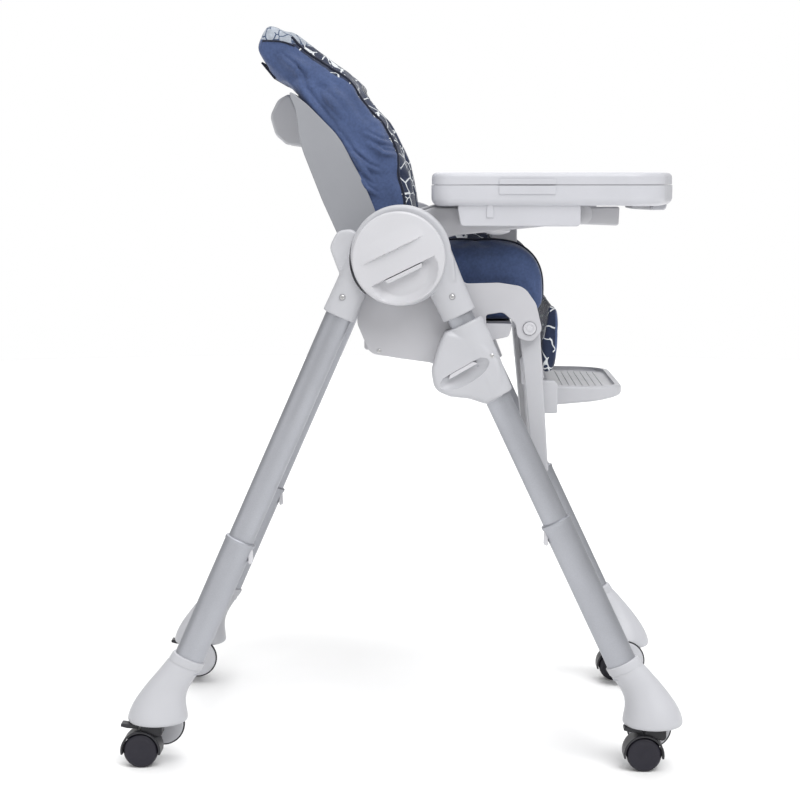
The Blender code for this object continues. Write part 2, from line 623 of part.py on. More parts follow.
# Leg rest
def leg_rest():
    """Two bars joined by a board, hung from the arms of the seat."""
    rest_f, rest_z = LEG_REST
    bar = fillet([(rest_f - 0.0145, rest_z + 0.010, 0.012), (rest_f + 0.0145, rest_z + 0.010, 0.012),
                  (0.2130, 0.4265, 0.003), (0.1905, 0.4265, 0.003)])
    origin = at(rest_f, rest_z)
    obj = piece("legrest_frame", slab(bar, -LEG_REST_BAR_X[1], -LEG_REST_BAR_X[0], bevel=0.0015), LIGHT_GREY,
                origin=origin)
    join(obj, slab([(0.194, 0.613), (0.200, 0.613), (0.206, 0.560), (0.200, 0.560)], -0.1970, 0.1970))
    join(obj, slab(bar, LEG_REST_BAR_X[0], LEG_REST_BAR_X[1], bevel=0.0015))
    pad = fillet([(0.2010, 0.6130, 0.005), (0.2270, 0.6200, 0.008), (0.2215, 0.566, 0.006),
                  (0.2068, 0.566, 0.005)])
    piece("legrest_pad", slab(pad, -0.165, 0.165, bevel=0.004), NAVY, origin=origin)


def footrest():
    """Foot plate that slides along the leg rest's bars."""
    dish = fillet([(0.2145, 0.5330, 0.004), (0.2145, 0.5090, 0.006), (0.282, 0.5130, 0.040), (0.317, 0.5200, 0.008),
                   (0.325, 0.5340, 0.006), (0.318, 0.5400, 0.004), (0.310, 0.5330), (0.226, 0.5300)])
    obj = piece("footrest", slab(dish, -0.150, 0.150, bevel=0.003), LIGHT_GREY)
    hanger = fillet([(0.1890, 0.5090, 0.003), (0.2260, 0.5090, 0.003), (0.2260, 0.5560, 0.008),
                     (0.1780, 0.5560, 0.008)])
    for sign in SIDES.values():
        join(obj, slab(hanger, sign * 0.1810, sign * 0.1950))
        join(obj, slab([(0.2145, 0.512), (0.2250, 0.512), (0.2250, 0.530), (0.2145, 0.530)], sign * 0.145, sign * 0.183))


def legrest_button(side, sign):
    rest_f, rest_z = LEG_REST
    bm = slab(circle(rest_f, rest_z, 0.0094, 20), sign * 0.2130, sign * 0.2220, bevel=0.001, segments=1,
              bevel_low=sign < 0, bevel_high=sign > 0)
    piece(f"legrest_button_{side}", bm, LIGHT_GREY)


def build():
    for side, sign in SIDES.items():
        for end, leg in LEGS.items():
            leg_pieces(end, leg, side, sign)
            foot(end, leg, side, sign)
            castor(end, side, sign)
        front_hub(side, sign)
        rear_hub(side, sign)
        hub_cover(side, sign)
        fold_lever(side, sign)
        height_slider(side, sign)
        height_lever(side, sign)
        armrest(side, sign)
        legrest_button(side, sign)
    for end, leg in LEGS.items():
        crossbar(end, leg)
    seat_shell()
    seat_cushion()
    crotch_post()
    harness_buckle()
    backrest()
    recline_handle()
    tray_base()
    tray_cover()
    tray_lever()
    leg_rest()
    footrest()


build()
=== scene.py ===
import json
import math
import bmesh
import bpy
from mathutils import Matrix, Vector, noise
from mathutils.bvhtree import BVHTree


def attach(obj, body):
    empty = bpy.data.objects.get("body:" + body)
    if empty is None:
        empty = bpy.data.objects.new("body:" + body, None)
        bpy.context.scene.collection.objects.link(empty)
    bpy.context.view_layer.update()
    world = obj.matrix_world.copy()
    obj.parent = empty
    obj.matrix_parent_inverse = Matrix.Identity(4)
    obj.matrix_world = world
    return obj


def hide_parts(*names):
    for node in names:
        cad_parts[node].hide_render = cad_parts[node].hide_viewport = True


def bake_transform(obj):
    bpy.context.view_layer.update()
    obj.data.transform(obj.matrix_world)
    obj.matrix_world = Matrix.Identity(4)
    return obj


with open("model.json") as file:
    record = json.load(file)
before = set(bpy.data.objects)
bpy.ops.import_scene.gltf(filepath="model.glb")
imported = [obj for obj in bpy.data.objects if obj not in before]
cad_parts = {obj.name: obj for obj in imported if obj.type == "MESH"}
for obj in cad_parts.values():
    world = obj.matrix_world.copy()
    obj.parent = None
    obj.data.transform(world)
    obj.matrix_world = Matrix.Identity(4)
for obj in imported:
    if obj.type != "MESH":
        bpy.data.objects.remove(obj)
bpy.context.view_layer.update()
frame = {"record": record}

print("frame loaded")

# places that everything is measured from
joints = {joint["name"]: joint for joint in frame["record"]["behaviour"]["joints"]}
hub = Vector(joints["fold"]["pos_m"])
sides = {"left": 1, "right": -1}
legs = {"front": {"top": 0.047, "run": 0.4706}, "rear": {"top": -0.049, "run": -0.4410}}


def spot(forward, height, x=0.0):
    # point from a distance forward of the hub, a height and a sideways place
    return Vector((x, hub.y - forward, height))


def forwardOf(point):
    return hub.y - point.y


def legForward(end, height):
    return legs[end]["top"] + (hub.z - height) * legs[end]["run"]


# materials
def startMaterial(name):
    material = bpy.data.materials.new(name)
    material.use_nodes = True
    nodes = material.node_tree.nodes
    shader = nodes["Principled BSDF"]
    coords = nodes.new("ShaderNodeTexCoord")
    return material, nodes, material.node_tree.links, shader, coords.outputs["Object"]


def addNoise(nodes, links, coords, scale, detail=3.0, stretch=None):
    source = coords
    if stretch:
        mapping = nodes.new("ShaderNodeMapping")
        mapping.inputs["Scale"].default_value = stretch
        links.new(coords, mapping.inputs["Vector"])
        source = mapping.outputs["Vector"]
    texture = nodes.new("ShaderNodeTexNoise")
    texture.inputs["Scale"].default_value = scale
    texture.inputs["Detail"].default_value = detail
    links.new(source, texture.inputs["Vector"])
    return texture.outputs["Fac"]


def addRamp(nodes, links, factor, stops):
    ramp = nodes.new("ShaderNodeValToRGB")
    elements = ramp.color_ramp.elements
    while len(elements) < len(stops):
        elements.new(0.5)
    for element, (place, color) in zip(elements, stops):
        element.position = place
        element.color = (*color, 1.0)
    links.new(factor, ramp.inputs["Fac"])
    return ramp.outputs["Color"]


def addBump(nodes, links, height, strength, distance, below=None):
    bump = nodes.new("ShaderNodeBump")
    bump.inputs["Strength"].default_value = strength
    bump.inputs["Distance"].default_value = distance
    links.new(height, bump.inputs["Height"])
    if below is not None:
        links.new(below, bump.inputs["Normal"])
    return bump.outputs["Normal"]


def addMath(nodes, links, operation, first, second=None):
    node = nodes.new("ShaderNodeMath")
    node.operation = operation
    for socket, value in zip(node.inputs, (first, second)):
        if value is None:
            continue
        if isinstance(value, (int, float)):
            socket.default_value = value
        else:
            links.new(value, socket)
    return node.outputs["Value"]


def plasticMaterial(name, color, roughness, grain=900.0, grainDepth=0.00012):
    # moulded plastic: spark-eroded grain, slow colour drift, faint scuffs
    material, nodes, links, shader, coords = startMaterial(name)
    drift = addNoise(nodes, links, coords, 9.0, 4.0)
    darker = tuple(channel * 0.965 for channel in color)
    lighter = tuple(min(1.0, channel * 1.025) for channel in color)
    links.new(addRamp(nodes, links, drift, [(0.35, darker), (0.65, lighter)]), shader.inputs["Base Color"])
    scuffs = addNoise(nodes, links, coords, 38.0, 6.0, stretch=(1.0, 0.35, 2.2))
    gloss = addRamp(nodes, links, scuffs, [(0.30, (roughness - 0.03,) * 3), (0.72, (roughness + 0.06,) * 3)])
    links.new(gloss, shader.inputs["Roughness"])
    fine = addNoise(nodes, links, coords, grain, 2.0)
    normal = addBump(nodes, links, fine, 0.35, grainDepth)
    slow = addNoise(nodes, links, coords, 22.0, 2.0)
    links.new(addBump(nodes, links, slow, 0.05, 0.0003, normal), shader.inputs["Normal"])
    shader.inputs["Specular IOR Level"].default_value = 0.42
    return material


def tubeMaterial(name, color):
    # silver paint: metal flake under a thin clear layer, with a few fine draw lines
    material, nodes, links, shader, coords = startMaterial(name)
    flake = nodes.new("ShaderNodeTexVoronoi")
    flake.inputs["Scale"].default_value = 1500.0
    links.new(coords, flake.inputs["Vector"])
    tone = addNoise(nodes, links, coords, 7.0, 5.0)
    darker = tuple(channel * 0.90 for channel in color)
    base = addRamp(nodes, links, tone, [(0.3, darker), (0.7, color)])
    sparkle = addRamp(nodes, links, flake.outputs["Color"], [(0.0, (0.86,) * 3), (1.0, (1.0,) * 3)])
    links.new(addMix(nodes, links, 0.8, base, sparkle, "MULTIPLY"), shader.inputs["Base Color"])
    wear = addNoise(nodes, links, coords, 60.0, 5.0, stretch=(1.0, 0.2, 0.2))
    links.new(addRamp(nodes, links, wear, [(0.3, (0.36,) * 3), (0.75, (0.50,) * 3)]),
              shader.inputs["Roughness"])
    lines = addNoise(nodes, links, coords, 420.0, 2.0, stretch=(1.0, 1.0, 0.05))
    links.new(addBump(nodes, links, lines, 0.12, 0.00010), shader.inputs["Normal"])
    shader.inputs["Metallic"].default_value = 0.72
    shader.inputs["Coat Weight"].default_value = 0.15
    shader.inputs["Coat Roughness"].default_value = 0.30
    return material


def addWeave(nodes, links, coords, pitch):
    # plain weave: two crossed sets of threads, one over the other in turn
    separate = nodes.new("ShaderNodeSeparateXYZ")
    links.new(coords, separate.inputs["Vector"])
    waves = []
    for axis in ("X", "Y", "Z"):
        turned = addMath(nodes, links, "MULTIPLY", separate.outputs[axis], 2 * math.pi / pitch)
        waves.append(addMath(nodes, links, "SINE", turned))
    crossed = addMath(nodes, links, "MULTIPLY", waves[1], waves[2])
    sideways = addMath(nodes, links, "MULTIPLY", waves[0], waves[2])
    return addMath(nodes, links, "ADD", crossed, sideways)


def clothMaterial(name, color, zones=None, sheen=0.35):
    # woven polyester with soft creases; zones are (attribute, colour, pattern, line colour)
    material, nodes, links, shader, coords = startMaterial(name)
    weave = addWeave(nodes, links, coords, 0.0011)
    slub = addNoise(nodes, links, coords, 260.0, 4.0)
    drift = addNoise(nodes, links, coords, 14.0, 4.0)
    result = addDrift(nodes, links, drift, color)
    for attributeName, zoneColor, pattern, lineColor in zones or []:
        zone = nodes.new("ShaderNodeAttribute")
        zone.attribute_name = attributeName
        inside = addMath(nodes, links, "GREATER_THAN", zone.outputs["Fac"], 0.0)
        inner = addPrint(nodes, links, coords, addDrift(nodes, links, drift, zoneColor), pattern, lineColor)
        result = addMix(nodes, links, inside, result, inner)
    fleck = addRamp(nodes, links, slub, [(0.35, (0.82,) * 3), (0.65, (1.0,) * 3)])
    result = addMix(nodes, links, 1.0, result, fleck, "MULTIPLY")
    links.new(result, shader.inputs["Base Color"])
    shader.inputs["Roughness"].default_value = 0.86
    shader.inputs["Sheen Weight"].default_value = sheen
    shader.inputs["Sheen Roughness"].default_value = 0.45
    shader.inputs["Specular IOR Level"].default_value = 0.25
    threads = addBump(nodes, links, weave, 0.40, 0.00018)
    crease = addNoise(nodes, links, coords, 26.0, 3.0, stretch=(1.0, 1.6, 0.6))
    links.new(addBump(nodes, links, crease, 0.30, 0.0022, threads), shader.inputs["Normal"])
    return material


def addDrift(nodes, links, drift, color):
    # a colour that wanders a little from place to place
    darker = tuple(channel * 0.84 for channel in color)
    lighter = tuple(channel * 1.14 for channel in color)
    return addRamp(nodes, links, drift, [(0.30, darker), (0.70, lighter)])


def addMix(nodes, links, factor, first, second, blend="MIX"):
    mix = nodes.new("ShaderNodeMix")
    mix.data_type = "RGBA"
    mix.blend_type = blend
    colors = [socket for socket in mix.inputs if socket.type == "RGBA"]
    for socket, value in ((mix.inputs[0], factor), (colors[0], first), (colors[1], second)):
        if isinstance(value, (int, float)):
            socket.default_value = value
        elif isinstance(value, tuple):
            socket.default_value = (*value, 1.0)
        else:
            links.new(value, socket)
    return [socket for socket in mix.outputs if socket.type == "RGBA"][0]


def addPrint(nodes, links, coords, base, pattern, patternColor):
    # thin lines round irregular cells, broken up so they read as twigs
    wobble = nodes.new("ShaderNodeTexNoise")
    wobble.inputs["Scale"].default_value = pattern["wobbleScale"]
    links.new(coords, wobble.inputs["Vector"])
    shift = nodes.new("ShaderNodeVectorMath")
    shift.operation = "MULTIPLY_ADD"
    shift.inputs[1].default_value = (pattern["wobble"],) * 3
    links.new(wobble.outputs["Color"], shift.inputs[0])
    links.new(coords, shift.inputs[2])
    cells = nodes.new("ShaderNodeTexVoronoi")
    cells.feature = "DISTANCE_TO_EDGE"
    cells.inputs["Scale"].default_value = pattern["scale"]
    links.new(shift.outputs["Vector"], cells.inputs["Vector"])
    line = addMath(nodes, links, "LESS_THAN", cells.outputs["Distance"], pattern["width"])
    gaps = addNoise(nodes, links, coords, pattern["scale"] * 1.1, 2.0)
    kept = addMath(nodes, links, "GREATER_THAN", gaps, pattern["gap"])
    mask = addMath(nodes, links, "MULTIPLY", line, kept)
    return addMix(nodes, links, mask, base, patternColor)


def webbingMaterial(name, color):
    # harness webbing: tight ribs across the strap
    material, nodes, links, shader, coords = startMaterial(name)
    weave = addWeave(nodes, links, coords, 0.0016)
    slub = addNoise(nodes, links, coords, 300.0, 3.0)
    darker = tuple(channel * 0.7 for channel in color)
    links.new(addRamp(nodes, links, slub, [(0.3, darker), (0.7, color)]), shader.inputs["Base Color"])
    shader.inputs["Roughness"].default_value = 0.7
    shader.inputs["Sheen Weight"].default_value = 0.2
    links.new(addBump(nodes, links, weave, 0.6, 0.0004), shader.inputs["Normal"])
    return material


def metalMaterial(name, color, roughness):
    material, nodes, links, shader, coords = startMaterial(name)
    brushed = addNoise(nodes, links, coords, 500.0, 3.0)
    links.new(addRamp(nodes, links, brushed, [(0.3, tuple(c * 0.85 for c in color)), (0.7, color)]),
              shader.inputs["Base Color"])
    shader.inputs["Metallic"].default_value = 1.0
    links.new(addRamp(nodes, links, brushed, [(0.2, (roughness,) * 3), (0.8, (roughness + 0.15,) * 3)]),
              shader.inputs["Roughness"])
    return material


finish = {
    "tube": tubeMaterial("silverPaint", (0.42, 0.43, 0.465)),
    "light": plasticMaterial("lightPlastic", (0.470, 0.474, 0.500), 0.40),
    "cover": plasticMaterial("coverPlastic", (0.540, 0.540, 0.565), 0.36),
    "tray": plasticMaterial("trayPlastic", (0.530, 0.535, 0.570), 0.32, grain=1400.0, grainDepth=0.00008),
    "grey": plasticMaterial("greyPlastic", (0.480, 0.480, 0.505), 0.42),
    "shell": plasticMaterial("shellPlastic", (0.285, 0.292, 0.315), 0.44),
    # painted shade: this darker plastic only fills the hub screw recesses and the leg rest channels
    "dark": plasticMaterial("paintedShadePlastic", (0.30, 0.30, 0.315), 0.50),
    "black": plasticMaterial("blackPlastic", (0.018, 0.018, 0.022), 0.46),
    "tyre": plasticMaterial("castorTyre", (0.009, 0.008, 0.016), 0.50),
    "pad": clothMaterial("padCloth", (0.066, 0.100, 0.215), [
        ("printed", (0.020, 0.030, 0.068),
         {"scale": 46.0, "width": 0.035, "wobble": 0.010, "wobbleScale": 40.0, "gap": 0.44},
         (0.75, 0.78, 0.80)),
        ("pale", (0.42, 0.46, 0.52),
         {"scale": 75.0, "width": 0.05, "wobble": 0.008, "wobbleScale": 40.0, "gap": 0.40},
         (0.06, 0.09, 0.16))]),
    "piping": clothMaterial("darkPiping", (0.012, 0.016, 0.034)),
    "webbing": webbingMaterial("webbing", (0.05, 0.055, 0.07)),
    "screw": metalMaterial("screwSteel", (0.62, 0.62, 0.62), 0.28),
}
print("materials ready")


# shaping
def roundedFace(bm, corners, place):
    # one flat face; a corner (a, b, radius) is rounded by a bevel of its vertex
    verts = [bm.verts.new(place(corner[0], corner[1])) for corner in corners]
    bm.faces.new(verts)
    plans = []
    for index, vert in enumerate(verts):
        radius = corners[index][2] if len(corners[index]) > 2 else 0.0
        if radius == 0.0:
            continue
        before = verts[index - 1].co - vert.co
        after = verts[(index + 1) % len(verts)].co - vert.co
        turn = math.pi - before.angle(after)
        reach = radius * math.tan(turn / 2)
        plans.append((vert, reach, max(3, round(turn / math.radians(7)))))
    for vert, reach, steps in plans:
        bmesh.ops.bevel(bm, geom=[vert], offset=reach, offset_type="OFFSET", segments=steps, profile=0.5,
                        affect="VERTICES", clamp_overlap=False, material=-1)


def roundRims(bm, axis, levels, rim, steps=3):
    # soften the edges that lie flat in the given planes
    edges = [edge for edge in bm.edges if any(
        all(abs(vert.co[axis] - level) < 1e-6 for vert in edge.verts) for level in levels)]
    bmesh.ops.bevel(bm, geom=edges, offset=rim, offset_type="OFFSET", segments=steps, profile=0.5,
                    affect="EDGES", clamp_overlap=True, material=-1)
    bmesh.ops.remove_doubles(bm, verts=bm.verts, dist=0.00003)


def sideSolid(corners, low, high, rim=0.0, steps=3, only=None):
    # side outline of (forward, height) corners given a thickness along X
    bm = bmesh.new()
    roundedFace(bm, corners, lambda forward, height: spot(forward, height, low))
    return thicken(bm, Vector((high - low, 0, 0)), 0, low, high, rim, steps, only)


def planSolid(corners, low, high, rim=0.0, steps=3, only=None):
    # plan outline of (x, forward) corners given a thickness along Z
    bm = bmesh.new()
    roundedFace(bm, corners, lambda x, forward: spot(forward, low, x))
    return thicken(bm, Vector((0, 0, high - low)), 2, low, high, rim, steps, only)


def thicken(bm, move, axis, low, high, rim, steps, only):
    grown = bmesh.ops.extrude_face_region(bm, geom=bm.faces[:])
    moved = [item for item in grown["geom"] if isinstance(item, bmesh.types.BMVert)]
    bmesh.ops.translate(bm, verts=moved, vec=move)
    bmesh.ops.recalc_face_normals(bm, faces=bm.faces)
    if rim:
        levels = {"low": [low], "high": [high], None: [low, high]}[only]
        roundRims(bm, axis, levels, rim, steps)
    return bm


def skinned(places, segments, radius=1.0):
    # circles set at the given places, joined in order and closed at both ends
    bm = bmesh.new()
    loops = []
    for index, place in enumerate(places):
        atEnd = index in (0, len(places) - 1)
        made = bmesh.ops.create_circle(bm, cap_ends=atEnd, segments=segments, radius=radius, matrix=place)
        loops.append(list({edge for vert in made["verts"] for edge in vert.link_edges}))
    for first, second in zip(loops, loops[1:]):
        bmesh.ops.bridge_loops(bm, edges=first + second)
    bmesh.ops.recalc_face_normals(bm, faces=bm.faces)
    return bm


def sweepOvals(rows, segments=48):
    # rows of (centre, tilt about X, half width, half depth), skinned in order
    places = []
    for centre, tilt, wide, deep in rows:
        place = Matrix.Translation(centre) @ Matrix.Rotation(tilt, 4, "X")
        places.append(place @ Matrix.Diagonal((deep, wide, 1.0, 1.0)))
    return skinned(places, segments)


def legRow(end, height, x, wide, deep):
    tilt = -math.atan(legs[end]["run"])
    return (spot(legForward(end, height), height, x), tilt, wide, deep)


def turnedX(profile, centre, steps=48):
    # lathe: profile of (along X, radius) pairs spun about the X axis through centre
    bm = bmesh.new()
    verts = [bm.verts.new(centre + Vector((along, 0, radius))) for along, radius in profile]
    edges = [bm.edges.new(pair) for pair in zip(verts, verts[1:])]
    bmesh.ops.spin(bm, geom=verts + edges, cent=centre, axis=(1, 0, 0), angle=2 * math.pi, steps=steps,
                   use_merge=True, use_duplicate=False)
    bmesh.ops.remove_doubles(bm, verts=bm.verts, dist=0.00002)
    bmesh.ops.recalc_face_normals(bm, faces=bm.faces)
    return bm


def aheadOf(points, index):
    # direction of travel at one point of a row
    return points[min(index + 1, len(points) - 1)] - points[max(index - 1, 0)]


def tubeAlong(points, radius, segments=10):
    # closed round tube along a row of points
    places = []
    for index, point in enumerate(points):
        turn = aheadOf(points, index).to_track_quat("Z", "X").to_matrix().to_4x4()
        places.append(Matrix.Translation(point) @ turn)
    return skinned(places, segments, radius)


def addTo(bm, other):
    # put one bmesh into another
    mesh = bpy.data.meshes.new("part")
    other.to_mesh(mesh)
    other.free()
    bm.from_mesh(mesh)
    bpy.data.meshes.remove(mesh)
    return bm


def plainObject(name, bm):
    mesh = bpy.data.meshes.new(name)
    bm.to_mesh(mesh)
    bm.free()
    obj = bpy.data.objects.new(name, mesh)
    bpy.context.scene.collection.objects.link(obj)
    return obj


def bakeModifiers(obj):
    # keep the shape that the modifiers give, and drop them
    bpy.context.view_layer.update()
    graph = bpy.context.evaluated_depsgraph_get()
    mesh = bpy.data.meshes.new_from_object(obj.evaluated_get(graph))
    old = obj.data
    obj.modifiers.clear()
    obj.data = mesh
    bpy.data.meshes.remove(old)
    return obj


def takenBack(obj):
    # the object's mesh as a bmesh again, with the object gone
    bm = bmesh.new()
    mesh = obj.data
    bm.from_mesh(mesh)
    bpy.data.objects.remove(obj)
    bpy.data.meshes.remove(mesh)
    return bm


def carved(bm, cutters, joined=()):
    # take the cutters out of a shape, then join others on
    body = plainObject("shape", bm)
    guides = []
    for operation, shapes in (("DIFFERENCE", cutters), ("UNION", joined)):
        for other in shapes:
            guide = plainObject("guide", other)
            guides.append(guide)
            modifier = body.modifiers.new("carve", "BOOLEAN")
            modifier.operation = operation
            modifier.solver = "EXACT"
            modifier.object = guide
    result = takenBack(bakeModifiers(body))
    bmesh.ops.remove_doubles(result, verts=result.verts, dist=0.00002)
    for guide in guides:
        takenBack(guide).free()
    return result


def finishPiece(name, bm, body, material, nodes=(), smooth=38, weighted=True):
    # object, shading, material, body, slot and the CAD nodes that it stands for
    obj = plainObject(name, bm)
    for face in obj.data.polygons:
        face.use_smooth = True
    if smooth:
        obj.data.set_sharp_from_angle(angle=math.radians(smooth))
    obj.data.materials.append(material)
    if weighted:
        modifier = obj.modifiers.new("flat faces first", "WEIGHTED_NORMAL")
        modifier.keep_sharp = True
    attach(obj, body)
    if nodes:
        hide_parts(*nodes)
    return obj


def screwHead(forward, height, x, sign, radius=0.0034):
    # pan head with a round socket
    return turnedX([(0.0, 0.0), (0.0, radius), (sign * 0.0007, radius), (sign * 0.0013, radius * 0.72),
                    (sign * 0.0013, radius * 0.42), (sign * 0.0004, radius * 0.38), (sign * 0.0004, 0.0)],
                   spot(forward, height, x), 12)


print("tools ready")


# legs
tube = {"wide": 0.0185, "deep": 0.0125, "x": 0.240}
lower = {"wide": 0.0215, "deep": 0.0155, "lip": 0.0008}
legPlan = {"front": {"joint": 0.3615, "collar": 0.157}, "rear": {"joint": 0.3325, "collar": 0.160}}


def makeLeg(end, side):
    sign = sides[side]
    x = sign * tube["x"]
    body = end + "_frame"
    joint = legPlan[end]["joint"]
    collar = legPlan[end]["collar"]
    rows = [legRow(end, height, x, tube["wide"], tube["deep"]) for height in (0.6895, 0.60, 0.50,
                                                                              joint - 0.027)]
    finishPiece(f"{end}_tube_{side}", sweepOvals(rows), body, finish["tube"],
                [f"{end}_upper_tube_{side}"])
    rows = [legRow(end, joint + 0.0004, x, lower["wide"] - 0.0016, lower["deep"] - 0.0016),
            legRow(end, joint, x, lower["wide"] - 0.0004, lower["deep"] - 0.0004),
            legRow(end, joint - 0.0012, x, lower["wide"] + lower["lip"], lower["deep"] + lower["lip"]),
            legRow(end, joint - 0.0045, x, lower["wide"] + lower["lip"], lower["deep"] + lower["lip"]),
            legRow(end, joint - 0.0062, x, lower["wide"], lower["deep"]),
            legRow(end, 0.25, x, lower["wide"], lower["deep"]),
            legRow(end, collar - 0.018, x, lower["wide"], lower["deep"])]
    finishPiece(f"{end}_lower_{side}", sweepOvals(rows), body, finish["tube"],
                [f"{end}_lower_leg_{side}"])
    # assembly clip on the back of the joint and a push button above it
    forward = legForward(end, joint - 0.018)
    back = -1 if end == "front" else 1
    clip = sideSolid([(forward + back * 0.018, joint - 0.001, 0.002),
                      (forward + back * 0.0235, joint - 0.003, 0.002),
                      (forward + back * 0.0250, joint - 0.034, 0.002),
                      (forward + back * 0.019, joint - 0.036, 0.002)],
                     x - 0.006, x + 0.006, 0.0012, 2)
    finishPiece(f"{end}_clip_{side}", clip, body, finish["cover"])
    buttonHeight = joint + 0.046
    centre = spot(legForward(end, buttonHeight), buttonHeight, x - sign * (tube["deep"] - 0.0012))
    # the height slider passes over the front one, so it stays nearly flush
    reach = -sign * (0.42 if end == "front" else 1.0)
    button = turnedX([(0.0, 0.0), (0.0, 0.0042), (reach * 0.0022, 0.0042), (reach * 0.0034, 0.0030),
                      (reach * 0.0036, 0.0)], centre, 20)
    finishPiece(f"{end}_button_{side}", button, body, finish["screw"])


def footRows(end, sign):
    # collar, waist and bell of the foot, each row (height, share, half width, half depth)
    collar = legPlan[end]["collar"]
    centre = {"front": 0.365, "rear": -0.350}[end]
    stations = [(collar, 0.00, 0.0232, 0.0172), (collar - 0.0006, 0.00, 0.0241, 0.0181),
                (collar - 0.0020, 0.01, 0.0246, 0.0187), (collar - 0.0100, 0.04, 0.0247, 0.0188),
                (collar - 0.0106, 0.05, 0.0238, 0.0180), (collar - 0.0118, 0.06, 0.0238, 0.0180),
                (collar - 0.0124, 0.07, 0.0246, 0.0189), (0.1370, 0.17, 0.0252, 0.0198),
                (0.1290, 0.26, 0.0262, 0.0211), (0.1200, 0.38, 0.0278, 0.0232),
                (0.1110, 0.50, 0.0300, 0.0262), (0.1020, 0.61, 0.0328, 0.0298),
                (0.0930, 0.73, 0.0362, 0.0342), (0.0850, 0.83, 0.0391, 0.0380),
                (0.0780, 0.92, 0.0414, 0.0410), (0.0725, 1.00, 0.0427, 0.0427),
                (0.0690, 1.00, 0.0431, 0.0431), (0.0665, 1.00, 0.0428, 0.0428),
                (0.0648, 1.00, 0.0419, 0.0419), (0.0640, 1.00, 0.0405, 0.0405)]
    tilt = -math.atan(legs[end]["run"])
    rows = []
    for height, share, wide, deep in stations:
        forward = legForward(end, height) * (1 - share) + centre * share
        x = sign * (tube["x"] * (1 - share) + 0.230 * share)
        rows.append((spot(forward, height, x), tilt * (1 - share), wide, deep))
    return rows, centre


def makeFoot(end, side):
    sign = sides[side]
    rows, centre = footRows(end, sign)
    finishPiece(f"{end}_foot_shell_{side}", sweepOvals(rows), end + "_frame", finish["light"],
                [f"{end}_foot_{side}"], smooth=50)
    cheek = turnedX([(sign * along, radius) for along, radius in (
        (0.0, 0.0), (0.0, 0.0285), (0.0010, 0.0305), (0.0024, 0.0312), (0.0046, 0.0312), (0.0056, 0.0302),
        (0.0060, 0.0285), (0.0060, 0.0))], spot(centre, 0.046, sign * 0.1845), 56)
    finishPiece(f"{end}_cheek_{side}", cheek, end + "_frame", finish["light"])
    rim = turnedX([(0.0016, 0.0300), (0.0016, 0.0322), (0.0026, 0.0330), (0.0042, 0.0330), (0.0052, 0.0322),
                   (0.0052, 0.0300), (0.0016, 0.0300)], spot(centre, 0.046, sign * 0.1878 - 0.0034), 56)
    finishPiece(f"{end}_cheek_rim_{side}", rim, end + "_frame", finish["black"])


for end in legs:
    for side in sides:
        makeLeg(end, side)
        makeFoot(end, side)
    forward = legForward(end, 0.178)
    bar = turnedX([(-0.2242, 0.0), (-0.2242, 0.011), (0.2242, 0.011), (0.2242, 0.0)], spot(forward, 0.178),
                  40)
    finishPiece(f"{end}_bar", bar, end + "_frame", finish["tube"], [f"{end}_crossbar"])
print("legs and feet made")


# castors
castor = {"x": 0.243, "front": 0.369, "rear": -0.354, "trail": 0.018, "radius": 0.025}


